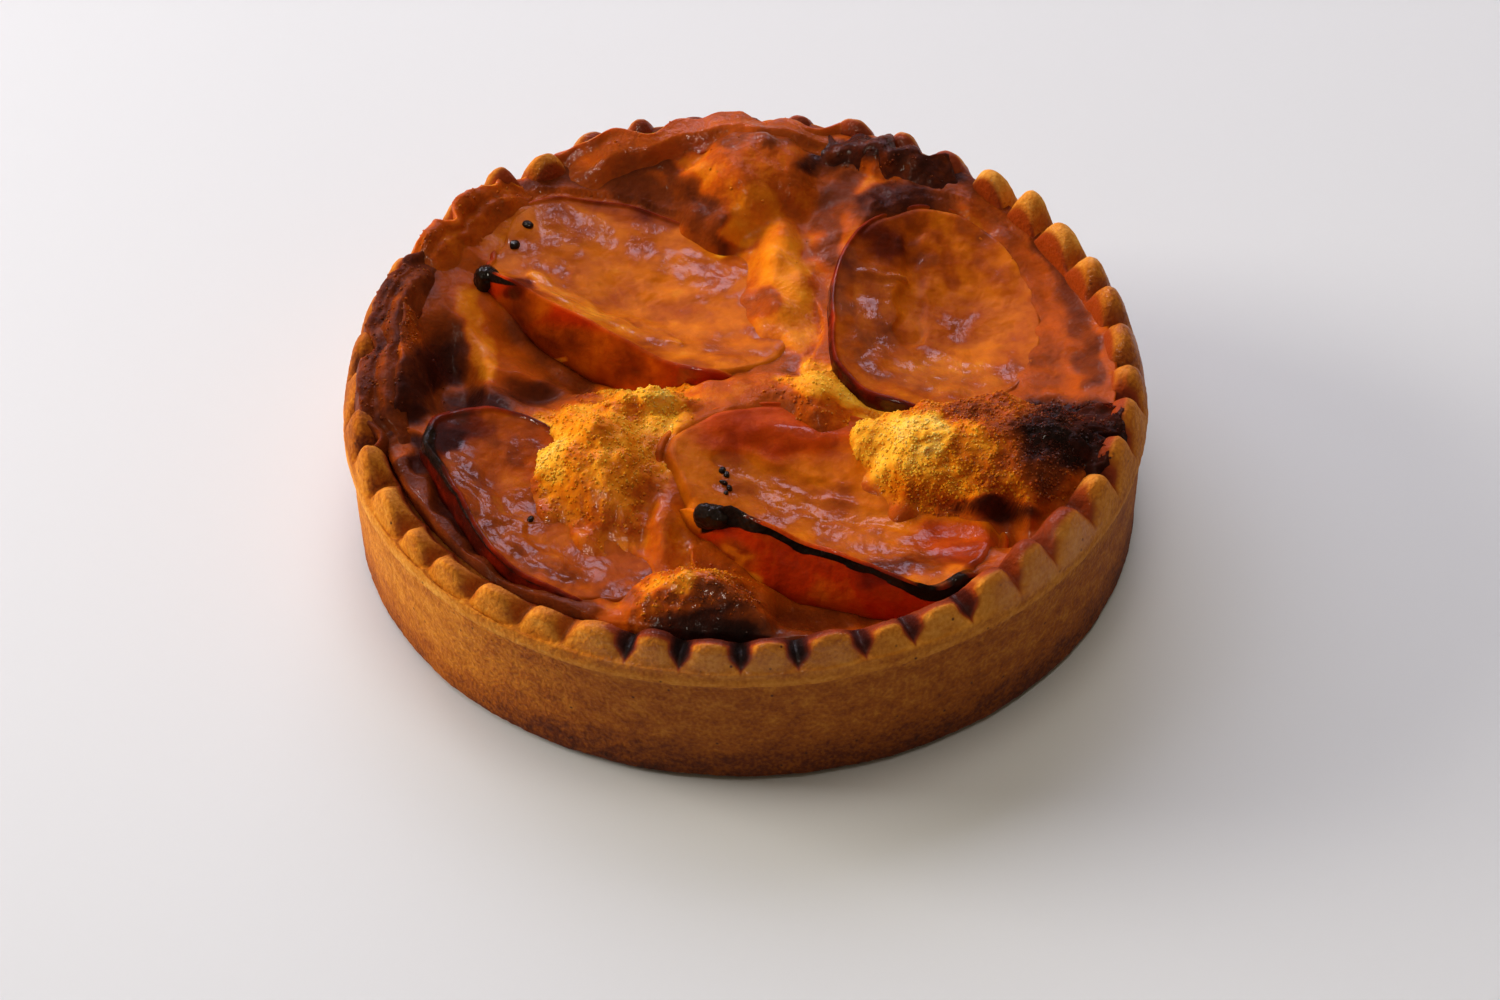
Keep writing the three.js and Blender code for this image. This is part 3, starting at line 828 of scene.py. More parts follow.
def almond_sponge(name, dry_roughness, specular, speckling, glow, painted_glow):
    """Sponge from yellow to black. It is speckled by its crumb, glows with light that goes into it, and
    can be painted a step paler than the baking says, as a painted glow of crumbs lit from behind."""
    material = new_material(name)
    tree = material.node_tree
    place = add(tree, "ShaderNodeTexCoord").outputs["Object"]
    patches = add(
        tree, "ShaderNodeTexNoise", {"Vector": place, "Scale": 1 / (SCORCH_PATCH * MM), "Detail": 4.0}
    )
    crumbs = add(tree, "ShaderNodeTexNoise", {"Vector": place, "Scale": 1 / (CRUMB * MM), "Detail": 3.0})
    # This field holds the baking, and also painted shade in valleys and under edges.
    baked = add(tree, "ShaderNodeAttribute", attribute_name="bake_light_and_shade").outputs["Fac"]
    wet = add(tree, "ShaderNodeAttribute", attribute_name="wet").outputs["Fac"]
    patchy = add(tree, "ShaderNodeMath", {0: patches, 1: 0.6, 2: -0.3}, operation="MULTIPLY_ADD")
    # A painted glow: the colour is moved a step paler.
    shift = -speckling / 2 - painted_glow
    speckle = add(tree, "ShaderNodeMath", {0: crumbs, 1: speckling, 2: shift}, operation="MULTIPLY_ADD")
    both = add(tree, "ShaderNodeMath", {0: patchy, 1: speckle}, operation="ADD")
    crumb = add(tree, "ShaderNodeAttribute", attribute_name="crumbly").outputs["Fac"]
    dryness = add(tree, "ShaderNodeMapRange", {"Value": crumb, "To Min": 0.4, "To Max": 1.0})
    mottle = add(tree, "ShaderNodeMath", {0: both, 1: dryness}, operation="MULTIPLY")
    doneness_light_and_shade = add(tree, "ShaderNodeMath", {0: baked, 1: mottle}, operation="ADD")
    colour = add(
        tree,
        "ShaderNodeValToRGB",
        {"Fac": doneness_light_and_shade},
        stops=[
            (0.0, "#f6d074"),
            (0.2, "#efae30"),
            (0.4, "#dc7e0c"),
            (0.55, "#b04b04"),
            (0.7, "#762f07"),
            (0.85, "#3b1206"),
            (1.0, "#180705"),
        ],
    )
    gloss = add(tree, "ShaderNodeMapRange", {"Value": wet, "To Min": dry_roughness, "To Max": 0.3})
    relief = add(tree, "ShaderNodeBump", {"Height": crumbs, "Strength": 0.6, "Distance": 0.25 * MM})
    shader = add(
        tree,
        "ShaderNodeBsdfPrincipled",
        {
            "Base Color": colour,
            "Roughness": gloss,
            "IOR": 1.45,
            "Specular IOR Level": specular,
            "Subsurface Weight": glow,
            "Subsurface Radius": (2.0 * MM, 0.9 * MM, 0.3 * MM),
            "Subsurface Scale": 1.0,
            "Coat Weight": wet,
            "Coat Roughness": 0.1,
            "Coat IOR": 1.4,
            "Coat Normal": relief,
            "Normal": relief,
        },
    )
    add(tree, "ShaderNodeOutputMaterial", {"Surface": shader})
    return material


ALMOND_SPONGE = almond_sponge("almond_sponge_baked_and_glazed", 0.65, 0.1, 0.2, 0.25, 0.0)
# The crumbs are painted a step paler, a painted glow as if light shone through them from behind.
SUGARED_CRUMB = almond_sponge("almond_crumb_toasted_in_sugar", 0.35, 0.3, 0.16, 0.35, 0.07)
print(ALMOND_SPONGE.name, len(ALMOND_SPONGE.node_tree.nodes), "nodes")

# %% [markdown]
# ## Outline of a half
# Each apricot half is an oval, turned and leaned, whose cut edge has dried as it baked: one end is
# drawn up, and one side folded in. The filling needs to know where those edges are as well as the fruit
# itself, so the outline comes first, with the formulas of the solids.

# %% Halves
HALVES = {  # middle of the cut face, half-sizes, turn in degrees, lean in X and Y, raised tip, fold
    "back_left": ((-12, 16.1, 22), (23.7, 15.6), -38.5, (-0.09, -0.06), 1.2, 4.4),
    "back_right": ((25.5, 10.7, 21.4), (20.2, 14.6), -90, (-0.09, 0.04), 0.4, 0.4),
    "front_right": ((10.2, -22.9, 21.4), (22.3, 15.4), -22, (-0.155, -0.055), 0.9, 5.4),
    "front_left": ((-22.6, -24.2, 21.0), (19.4, 11.0), -49, (-0.15, 0.02), 0.6, 0.5),
}
HALF_DEPTH = 12.5  # mm
HOLLOWS = {  # depth of the hollow and of the stone's own dent in mm, and how far it lies off the middle
    "back_left": (3.4, 0.6, (0, -2.0)),
    "back_right": (3.8, 0.5, (0, 2.5)),
    "front_right": (4.2, 0.4, (0, -3.2)),
    "front_left": (2.2, 0.2, (0, -1.0)),
}
BOWL = 2.0  # how flat the floor of a hollow is: 1 for a cone, more for a flatter floor
FOLD_REACH = math.radians(50)
RIM_CURLS = ((7, 0.18), (13, 0.12))  # waves round the rim, and their height in mm
RIM_SADDLE = 0.5  # mm by which both ends stand higher than the sides
OUTLINE_UNEVENNESS = 0.025
RIM_SINKS = {  # how far the rim has sunk in mm, at angles in degrees round the half's outline
    "back_left": {
        -165: 3.4, -150: 3.6, -142: 3.0, -135: 1.6, -125: 0.5, -110: 0, -80: 0.5, -60: 0.9, -40: 1.5,
        10: 1.6, 90: 1.4, 150: 1.6, 175: 2.6,
    },
    "back_right": {-165: 0.6, -150: 0, -25: 0, 0: 0.5, 40: 1.5, 140: 1.5, 175: 1.0},
    "front_right": {
        -175: 2.8, -150: 3.4, -142: 3.8, -134: 2.6, -126: 0.2, -110: 0, -60: 0.5, -45: 1.5, -38: 1.7,
        -28: 0.7, 30: 0.8, 75: 0.5, 100: 0.4, 130: 0.8, 155: 2.0,
    },
    "front_left": {
        -170: 2.0, -150: 1.4, -135: 0.4, -120: 0, -90: 0.5, -60: 0.3, -30: 0.7, 0: 1.2, 60: 1.0,
        110: 0.6, 140: 0.8, 165: 1.6,
    },
}
RIM_PULLS = {  # how far the rim is drawn outwards in mm, at the same angles
    "back_left": {-165: 0.2, -150: 0.8, -142: 2.0, -135: 2.2, -125: 1.3, -110: 0.5, -90: 0.2, -60: 0},
    "back_right": {-80: 0, -60: 2.1, -40: 2.0, -20: 0.8, 0: 0},
    "front_right": {
        -160: 0, -142: 0.3, -134: 0.5, -126: -0.3, -110: 0, -60: 0.2, -45: 0.8, -36: 0.8, -20: 0,
    },
    "front_left": {165: 0, -170: 1.2, -150: 1.0, -136: -0.6, -120: -1.2, -104: -0.7, -88: 0},
}


def rim_shape(name, angle):
    """Round a half's outline: the rim's rise in mm, and the shares it is folded in and uneven by."""
    _, (_, short), turn, _, tip, fold = HALVES[name]
    curl = 0
    for number, (waves, high) in enumerate(RIM_CURLS, 1):
        curl = curl + high * np.sin(waves * angle + number * turn)
    rise = tip * np.maximum(0, -np.cos(angle)) ** 4 + RIM_SADDLE * np.cos(2 * angle) + curl
    rise = rise - at_angle(RIM_SINKS[name], angle)
    away = np.arccos(np.clip(-np.sin(angle), -1, 1)) / FOLD_REACH
    folded = (fold * np.exp(-(away**2)) - at_angle(RIM_PULLS[name], angle)) / short
    return rise, folded, 1 + OUTLINE_UNEVENNESS * waver(angle, turn)


def in_oval(middle, half, turn, x, y):
    """Where a point lies in a turned oval: 0 at its middle and 1 on its outline, and its angle there."""
    turn = math.radians(turn)
    dx, dy = x - middle[0], y - middle[1]
    along = (dx * math.cos(turn) + dy * math.sin(turn)) / half[0]
    aside = (dy * math.cos(turn) - dx * math.sin(turn)) / half[1]
    return np.hypot(along, aside), np.arctan2(aside, along)


print("halves:", ", ".join(HALVES))

# %% [markdown]
# ## Painting in plan
# Colour, gloss and small folds are painted by place, in ovals and along lines. The places are read off
# from the front and above, so a spot that stands higher than the rims shows further back: it is slid
# along that slant before it is looked up. A map drawn straight from above would put every mark on a
# dome in the wrong place.

# %% Painting in plan
RIM_LEVEL = 22.5  # mm, the height at which the places are true
SLANT = 1 / math.tan(CAMERA_ELEVATION)
MARK_WANDER = 0.7  # mm by which the edges of the marks wander
MARK_WAVE = 6  # mm from one wave of an edge to the next


def in_plan(points):
    """The place of each point on the plan."""
    return points[..., 0], points[..., 1] + SLANT * (points[..., 2] - RIM_LEVEL)


def near_line(line, width, x, y):
    """1 on a line of points and 0 at its width or farther, with a soft change between them."""
    nearest = np.full(np.shape(x), np.inf)
    for (ax, ay), (bx, by) in zip(line, line[1:]):
        dx, dy = bx - ax, by - ay
        share = np.clip(((x - ax) * dx + (y - ay) * dy) / (dx * dx + dy * dy), 0, 1)
        nearest = np.minimum(nearest, np.hypot(x - ax - share * dx, y - ay - share * dy))
    return fade(nearest, width, 0.3 * width)


def rumple(x, y, size, seed):
    """A soft unevenness of a given size in mm, about -1 to 1, from waves in many directions."""
    chance = np.random.default_rng(seed)
    height = np.zeros(np.shape(x))
    for turn, stretch, start in chance.uniform((0, 0.7, 0), (math.tau, 1.5, math.tau), (9, 3)):
        height += np.sin((x * math.cos(turn) + y * math.sin(turn)) * math.tau * stretch / size + start)
    return height / 4


def paint(fields, marks, points):
    """Lays ovals and lines on fields in turn. Each gives the values that it changes, by field."""
    x, y = in_plan(points)
    shift_x = MARK_WANDER * rumple(x, y, MARK_WAVE, 1)
    shift_y = MARK_WANDER * rumple(x, y, MARK_WAVE, 2)
    x, y = x + shift_x, y + shift_y
    for *shape, values in marks:
        if len(shape) == 3:
            inside = fade(in_oval(*shape, x, y)[0], 1.15, 0.6)
        else:
            inside = near_line(*shape, x, y)
        for field, value in values.items():
            fields[field] += inside * (value - fields[field])


print("slant:", round(SLANT, 3), "mm back for each mm up")

# %% [markdown]
# ## Shape of the filling
# Its top is a height at each place on a disc. It climbs to meet the rim of each half, lies over the
# fruit on the far sides, dips into a bed under it, and rises in domes. Against the back of the case it
# has climbed nearly to the top of the rim. A square grid pressed into a disc keeps its cells nearly
# even, where a wheel of spokes would crowd them in the middle.

# %% Filling shape
RIM_GAPS = {  # how far the filling stops below the rim in mm, at angles round the half's outline
    "back_left": {
        -165: -0.6, -150: -0.3, -135: 3.0, -115: 7.0, -85: 8.0, -60: 5.0, -42: 1.2, -25: -0.5, 90: -0.5,
    },
    "back_right": {-150: -0.4, -132: 0.3, -110: 1.0, -40: 0.6, -15: 0.0, 20: -0.5, 130: -0.5, 175: -0.4},
    "front_right": {
        -175: -0.4, -165: -0.6, -148: -0.4, -130: 4.0, -100: 7.5, -50: 6.5, -25: 1.5, 0: -0.5, 60: 0,
        90: 0.1, 130: -0.2, 155: -0.4,
    },
    "front_left": {-175: 2.2, -130: 3.0, -80: 2.0, -50: 0.6, -25: -0.5, 90: -0.4, 125: 0.2, 155: 1.6},
}
COVERED = {  # where the filling ends on the fruit, as a share of the half's outline, at the same angles
    "back_left": {
        -165: 0.95, -150: 1.0, -140: 1.05, -45: 1.05, -25: 0.94, 30: 0.9, 70: 1.0, 110: 1.04, 150: 1.0,
    },
    "back_right": {-155: 0.96, -135: 0.98, -122: 1.05, -20: 1.05, 15: 0.9, 60: 0.82, 120: 0.86, 170: 0.96},
    "front_right": {
        -175: 0.95, -165: 0.88, -148: 0.9, -137: 1.05, -40: 1.05, -15: 0.92, 30: 0.92, 55: 0.98,
        75: 1.05, 105: 1.02, 135: 0.96, 160: 0.95,
    },
    "front_left": {-175: 1.05, -55: 1.05, -30: 0.9, 20: 0.82, 80: 0.84, 120: 0.97, 145: 1.05},
}
FILM = 0.6  # mm, the filling that lies over the fruit
FILM_SLOPE = 0.14  # how fast it thickens from its edge
UNDER_BEND = 0.3  # how fast it goes down under the fruit inside that edge
UNDER_FRUIT = 6.0  # mm that it lies below the flesh there
DOMES = {  # middle, half-sizes, turn in degrees, top, how steep its foot is, crumb
    "middle_left": ((-17.6, -15.8), (10.2, 14), 4, 24.9, 0.65, 1.0),
    "right": ((29.5, -15.6), (17, 8.6), -7, 25.6, 1.7, 1.0),
    "back": ((2, 37.5), (13.5, 11.5), 0, 27.0, 0.9, 0.25),
    "ridge": ((5.5, 20), (6, 24), 4, 21.8, 0.7, 0.1),
    "back_right": ((20, 38), (11, 5), -22, 25.8, 1.0, 0.4),
    "left": ((-43.5, 4), (4.2, 18), 6, 25.6, 1.5, 0.7),
    "front": ((-6.3, -40.5), (9.5, 7), -6, 24.4, 0.9, 0.9),
    "middle": ((8.5, -5.5), (7.5, 5.5), -30, 22.4, 0.9, 0.6),
    "crumb_bank": ((-13, -7.5), (10, 3.4), 6, 23.8, 1.0, 0.9),
    "glaze_bank": ((-9.5, -24.5), (4, 8), -6, 20.8, 0.6, 0.0),
}
DIPS = [  # middle, half-sizes, turn in degrees, depth
    ((29.5, -27), (5.5, 3.5), -12, 4.0),
    ((-36.5, 1), (4.5, 11), 8, 4.5),
    ((-24, -2), (8, 4), -14, 3.0),
]
EDGE_HEIGHTS = {  # how high the filling stands against the case in mm, at angles seen from above
    -130: 19.6, -90: 19.8, -45: 20.2, -25: 20.6, -5: 21.6, 15: 22.2, 45: 22.8, 75: 23.6, 110: 24.0,
    140: 23.6, 165: 21.8, -150: 19.9,
}
FILLING_RADIUS = 45.2  # mm
FILLING_EDGE = 20.0  # mm
FILLING_GAP = 0.3  # mm between the filling and the case under it
EDGE_RISE = (30, 44)  # mm from the middle, where its level starts to rise to the edge and is there
FILM_RAGGEDNESS = 0.025
EDGE_CLIMB = 0.55  # how far out the filling reaches for each mm that it climbs up the rim
EDGE_SLOPE = 1.1
DOME_ROOT = 18.0  # mm
DOME_UNEVENNESS = 0.14
DOME_SWELL = 0.5  # mm of unevenness on a dome's top
DOME_FALL = 9  # mm that a dome falls for each half-size outside its outline
SKIRT = 5.0  # mm over which the filling climbs to a rim
BLEND = 1.4  # mm over which domes run into what is beside them


def higher(a, b, soft):
    """The higher of two surfaces, with the crease between them rounded."""
    overlap = np.clip(soft - np.abs(a - b), 0, None)
    return np.maximum(a, b) + overlap**2 / (4 * soft)


def filling_edge(x, y):
    """Height and radius of the filling's edge in the direction of each place."""
    height = at_angle(EDGE_HEIGHTS, np.arctan2(y, x))
    return height, FILLING_RADIUS + EDGE_CLIMB * (height - FILLING_EDGE)


def filling_top(x, y):
    """The height of the filling at each place."""
    edge_height, edge_radius = filling_edge(x, y)
    level = FILLING_EDGE + (edge_height - FILLING_EDGE) * fade(np.hypot(x, y), *EDGE_RISE)
    climb = np.zeros(np.shape(x))
    weights = np.zeros(np.shape(x))
    beds = []
    for name, (middle, half, turn, lean, _, _) in HALVES.items():
        out, angle = in_oval(middle, half, turn, x, y)
        cut_face = middle[2] + lean[0] * (x - middle[0]) + lean[1] * (y - middle[1])
        gap = at_angle(RIM_GAPS[name], angle)
        edge = at_angle(COVERED[name], angle) + FILM_RAGGEDNESS * rumple(x, y, 5, len(name))
        near = np.exp(-((np.maximum(out - 1, 0) * half[1] / SKIRT) ** 2))
        climb += near * (cut_face + rim_shape(name, angle)[0] - gap - level)
        weights += near
        inside = np.minimum(out, 1)
        flesh = cut_face + rim_shape(name, angle)[0] * inside**3 - HOLLOWS[name][0] * (1 - inside**BOWL)
        past = (out - edge) * half[1]
        film = FILM_SLOPE * past - UNDER_BEND * np.minimum(past, 0) ** 2
        beds.append(np.where(out < 1.05, flesh + np.clip(film, -UNDER_FRUIT, FILM), np.inf))
    top = level + climb / np.maximum(weights, 1)
    for middle, half, turn, depth in DIPS:
        top = top - depth * fade(in_oval(middle, half, turn, x, y)[0], 1.1, 0.3)
    for bed in beds:
        top = np.minimum(top, bed)
    for number, (middle, half, turn, dome_top, steep, _) in enumerate(DOMES.values()):
        out, angle = in_oval(middle, half, turn, x, y)
        out = out * (1 + DOME_UNEVENNESS * (waver(angle, number) + 0.6 * rumple(x, y, 7, number)))
        swell = DOME_SWELL * rumple(x, y, 8, 20 + number)
        share = np.clip(1 - out * out, 0, None) ** (1 / steep)
        dome = DOME_ROOT + (dome_top + swell - DOME_ROOT) * share - DOME_FALL * np.maximum(out - 1, 0)
        top = higher(top, dome, BLEND)
    return np.minimum(top, edge_height + EDGE_SLOPE * np.maximum(0, edge_radius - np.hypot(x, y)))


print("filling level at the middle:", round(float(filling_top(np.array(0.0), np.array(0.0))), 2), "mm")

# %% Where the filling is browned and wet, and where shade is painted on it
FILLING_MARKS = [  # an oval's middle, half-sizes and turn, or a line and its half-width; what it sets
    ((38, 12), (6, 23), 4, {"bake_light_and_shade": 0.6, "wet": 0.05}),
    ((-18, 41), (18, 5), 22, {"bake_light_and_shade": 0.76, "wet": 0.1}),
    ([(-29, 41), (-20, 39.5), (-11, 33), (-5, 29), (-1, 22)], 4.5, {"bake_light_and_shade": 0.74, "wet": 0.15}),
    ((-27, 28), (4.5, 9), -25, {"bake_light_and_shade": 0.5, "wet": 0.4}),
    ([(1, 20), (4, 12), (4, 4)], 4.0, {"bake_light_and_shade": 0.5, "wet": 0.5}),
    ((20, 31), (9, 5), -15, {"bake_light_and_shade": 0.82, "wet": 0.15}),
    ((17, 24), (7, 4), -20, {"bake_light_and_shade": 0.76, "wet": 0.1}),
    ([(-10, -14), (-6, -8), (1, -4.5), (8, -5), (13, -10)], 3.0, {"bake_light_and_shade": 0.53, "wet": 0.1}),
    ((15, 34), (4.5, 2.5), 25, {"bake_light_and_shade": 0.5, "wet": 0.1}),
    ((33, 26), (4, 6), 30, {"bake_light_and_shade": 0.5, "wet": 0.3}),
    ((2, 38), (12, 8), 0, {"bake_light_and_shade": 0.55, "wet": 0.15}),
    ((-6, 38), (4, 4), 0, {"bake_light_and_shade": 0.5}),
    ((9, 34), (3.5, 7), 10, {"bake_light_and_shade": 0.58}),
    ((2, 45), (13, 3.2), 0, {"bake_light_and_shade": 0.68, "wet": 0.6}),
    ((2, 29), (4, 6), 0, {"bake_light_and_shade": 0.46, "wet": 0.2}),
    ((13, 20), (4, 12), 0, {"bake_light_and_shade": 0.54, "wet": 0.1}),
    ((5.5, 17), (3.5, 10), 3, {"bake_light_and_shade": 0.42, "wet": 0.2}),
    ((7, 6), (2.6, 6), 0, {"bake_light_and_shade": 0.44, "wet": 0.2}),
    ((2, 10.6), (3, 3.4), 0, {"bake_light_and_shade": 0.64}),
    ((10, 20), (2, 9), 0, {"bake_light_and_shade": 0.54, "wet": 0.3}),
    ((9, -4), (5, 4), -20, {"bake_light_and_shade": 0.33, "wet": 0.1, "crumbly": 0.7}),
    ((14, -8), (4, 2.2), -30, {"bake_light_and_shade": 0.22}),
    ((-14, -6), (8, 2), 8, {"bake_light_and_shade": 0.3, "wet": 0.1, "crumbly": 0.9}),
    ((-40, 9), (5, 7), 10, {"bake_light_and_shade": 0.66, "wet": 0.1}),
    # Painted shade: the deep valley at the left, inside the burnt crust, is darkened.
    ((-37.5, 2), (4, 7), -10, {"bake_light_and_shade": 0.76, "wet": 0.1}),
    ((-41.7, -5), (12, 5), 65, {"bake_light_and_shade": 0.87, "wet": 0.1, "crumbly": 0.2}),
    ((-36, -7), (4, 4), 0, {"bake_light_and_shade": 0.7, "wet": 0.2}),
    # Painted shade: the valley under the near wall of the back left half is darkened.
    ((-24, -6), (7, 3), -10, {"bake_light_and_shade": 0.78, "wet": 0.2}),
    ((-18.5, -17), (9, 12), 4, {"bake_light_and_shade": 0.39, "wet": 0.2, "crumbly": 0.8}),
    ((-24, -17), (2.5, 8), 8, {"bake_light_and_shade": 0.26, "crumbly": 1.0}),
    ((-18.5, -26.5), (8, 5.5), 0, {"bake_light_and_shade": 0.48, "wet": 0.6, "crumbly": 0.7}),
    ((-16, -32), (6, 3), 0, {"bake_light_and_shade": 0.5, "wet": 0.7, "crumbly": 0.3}),
    ((-11, -18), (2.5, 7), 0, {"bake_light_and_shade": 0.44, "wet": 0.3}),
    ((-10.1, -9.5), (3.2, 4.5), 0, {"bake_light_and_shade": 0.22, "wet": 0.1, "crumbly": 0.9}),
    ((-8.5, -29), (4, 7), 15, {"bake_light_and_shade": 0.55, "wet": 0.9, "crumbly": 0.15}),
    ((-6, -40), (7, 4.5), -5, {"bake_light_and_shade": 0.56, "wet": 0.8, "crumbly": 0.8}),
    ((-9, -39), (3, 2), 0, {"bake_light_and_shade": 0.4}),
    ((-3, -41.5), (4, 2.5), -20, {"bake_light_and_shade": 0.7}),
    ((-2, -45), (6, 3), 0, {"bake_light_and_shade": 0.92, "wet": 0.2, "crumbly": 0.5}),
    ((-2, -47.5), (8, 2.2), 0, {"bake_light_and_shade": 0.98, "wet": 0.15, "crumbly": 0.2}),
    ((-9, -46), (3, 2.5), 0, {"bake_light_and_shade": 0.92, "wet": 0.3, "crumbly": 0.4}),
    ((-14, -41), (4, 2), 20, {"bake_light_and_shade": 0.42, "wet": 0.8}),
    ((10, -43), (14, 3.4), 8, {"bake_light_and_shade": 0.66, "wet": 0.8}),
    ([(2, -47), (8, -46.5), (17, -44.5), (25, -40)], 2.8, {"bake_light_and_shade": 0.74, "wet": 0.9}),
    ((-17, -40), (8, 2.5), -20, {"bake_light_and_shade": 0.64, "wet": 0.8}),
    ((17, -17.5), (5, 8.5), 10, {"bake_light_and_shade": 0.23, "wet": 0.1, "crumbly": 0.9}),
    ((27, -20), (8, 9), 0, {"bake_light_and_shade": 0.44, "wet": 0.1, "crumbly": 1.0}),
    ((29, -11), (6, 2.4), -10, {"bake_light_and_shade": 0.66, "crumbly": 1.0}),
    ([(27, -9.5), (31, -14), (33, -19.5), (36, -25.5)], 4.0, {"bake_light_and_shade": 0.66, "crumbly": 1.0}),
    ((39.5, -15.5), (8, 7.5), -15, {"bake_light_and_shade": 0.94, "wet": 0.25, "crumbly": 1.0}),
    ((25, -26), (10, 4), -8, {"bake_light_and_shade": 0.45, "crumbly": 1.0}),
    ((30, -33), (5, 5), 0, {"bake_light_and_shade": 0.6, "wet": 0.8, "crumbly": 0.0}),
    ((22, -36.5), (8, 3.2), 10, {"bake_light_and_shade": 0.76, "wet": 0.7, "crumbly": 0.0}),
    ((21.5, -15), (3.5, 4.5), 0, {"bake_light_and_shade": 0.17, "wet": 0.1, "crumbly": 1.0}),
    # Painted shadow under the ragged edge of the right dome.
    ((29.2, -28.2), (6, 2.4), -12, {"bake_light_and_shade": 0.84, "wet": 0.1, "crumbly": 0.0}),
    ([(31, 31), (35, 24), (36, 10), (37, 0), (38, -6)], 3.2, {"bake_light_and_shade": 0.64}),
    ([(29, 36), (36, 30), (41, 18), (43, 4), (43, -6)], 2.2, {"bake_light_and_shade": 0.77}),
    ([(15, 36), (12, 30), (11.5, 25), (11.4, 19)], 2.6, {"bake_light_and_shade": 0.72}),
    ([(9, 38.5), (16, 41), (23, 40), (29, 36.5)], 2.8, {"bake_light_and_shade": 0.86, "wet": 0.3}),
    # Partly painted shade: the far side of the back left half lies in shade here, next to burnt filling.
    ([(-11, 42), (-8, 36), (-4, 30)], 2.2, {"bake_light_and_shade": 0.76, "wet": 0.2}),
    ((-0.8, 25), (3, 3), 0, {"bake_light_and_shade": 0.38, "wet": 0.2}),
    ([(-9, -2), (-4, -1.5), (1, -2), (6, -1)], 2.2, {"bake_light_and_shade": 0.66, "wet": 0.9, "crumbly": 0.0}),
    ([(-31, 38), (-34, 35), (-36, 32)], 4.0, {"bake_light_and_shade": 0.58, "wet": 0.4}),
    ([(-39.5, 27), (-42, 21), (-42, 14)], 4.0, {"bake_light_and_shade": 0.74, "wet": 0.3}),
    ([(-34, 28), (-32, 23.5), (-31, 17)], 2.4, {"bake_light_and_shade": 0.5, "wet": 0.4}),
    ([(-35.5, 14), (-34.5, 9), (-33, 3), (-32, -1)], 2.0, {"bake_light_and_shade": 0.45, "wet": 0.2}),
    ((-32.5, -9), (5, 5.5), -15, {"bake_light_and_shade": 0.9, "wet": 0.1}),
    # Painted shade along the foot of the back left half's near wall.
    ([(-28, 8), (-24.5, 1), (-21.5, -4)], 3.4, {"bake_light_and_shade": 0.7, "wet": 0.15}),
    ([(-44, 14), (-45, 4), (-44.5, -6), (-46, -14)], 3.0, {"bake_light_and_shade": 0.8, "wet": 0.2, "crumbly": 0.9}),
    # Painted shade in the gap under the front left half's rim.
    ([(-39, -18), (-35, -29), (-28, -37), (-20, -41)], 3.0, {"bake_light_and_shade": 0.86, "wet": 0.15}),
    (
        [(-41, -18.4), (-37.6, -27.3), (-32.5, -34.2), (-27, -39.5), (-19, -43)],
        2.2,
        {"bake_light_and_shade": 0.76, "wet": 0.3, "lift": 0.5},
    ),
    # Painted shade in the groove under the front left half's rim; the lift cuts the groove itself.
    (
        [(-39.3, -14), (-36, -24.5), (-31, -32.5), (-26.5, -37.5)],
        2.0,
        {"bake_light_and_shade": 0.86, "wet": 0.1, "lift": -0.4},
    ),
]
print(len(FILLING_MARKS), "marks on the filling")

# %% Filling grid
GRID = 290  # points along each side
UNMARKED = {"bake_light_and_shade": 0.58, "wet": 0.22, "lift": 0.0, "crumbly": 0.0}  # where no mark lies
RIPPLE = 0.2  # mm of unevenness all over


def disc_grid(count):
    """A square grid of points pressed into a disc of radius 1."""
    side = np.linspace(-1, 1, count)
    u, v = np.meshgrid(side, side, indexing="ij")
    wide = np.abs(u) > np.abs(v)
    out = np.where(wide, u, v)
    safe = np.where(out == 0, 1, out)
    turn = np.where(wide, math.pi / 4 * v / safe, math.pi / 2 - math.pi / 4 * u / safe)
    return out * np.cos(turn), out * np.sin(turn)


x, y = disc_grid(GRID)
reach = filling_edge(x, y)[1]
x, y = x * reach, y * reach
points = np.stack([x, y, filling_top(x, y)], -1)
fields = {name: np.full(x.shape, value) for name, value in UNMARKED.items()}
for middle, half, turn, _, _, crumb in DOMES.values():
    inside = fade(in_oval(middle, half, turn, x, y)[0], 1.05, 0.6)
    fields["crumbly"] = np.maximum(fields["crumbly"], crumb * inside)
paint(fields, FILLING_MARKS, points)
points[..., 2] += fields.pop("lift") + RIPPLE * rumple(x, y, 4.5, 7)
index = np.arange(GRID * GRID).reshape(GRID, GRID)
quads = np.stack([index[:-1, :-1], index[1:, :-1], index[1:, 1:], index[:-1, 1:]], -1).reshape(-1, 4)
border = np.concatenate([index[:-1, 0], index[-1, :-1], index[:0:-1, -1], index[0, :0:-1]])
fields["crumbly"].flat[border] = 0.0  # no crumbs on the hidden side
points = points.reshape(-1, 3)
away = np.hypot(points[border, 0], points[border, 1])[:, None]
base = CASE_FLOOR + FILLING_GAP
foot = points[border] * (1, 1, 0) * (INNER_FOOT_RADIUS - FILLING_GAP) / away + (0, 0, base)
under = np.array([[0, 0, base]])
foot_index = GRID * GRID + np.arange(len(border))
beside = np.roll(np.arange(len(border)), -1)
wall = np.stack([border, foot_index, foot_index[beside], border[beside]], 1)
bottom = np.stack([foot_index, np.full(len(border), foot_index[-1] + 1), foot_index[beside]], 1)
print("filling grid of", len(quads), "cells")


# %% Almond filling
def with_foot(field, below=0.0):
    """A field on the top, with one value for the points below it."""
    return np.concatenate([np.ravel(field), np.full(len(border) + 1, below)])


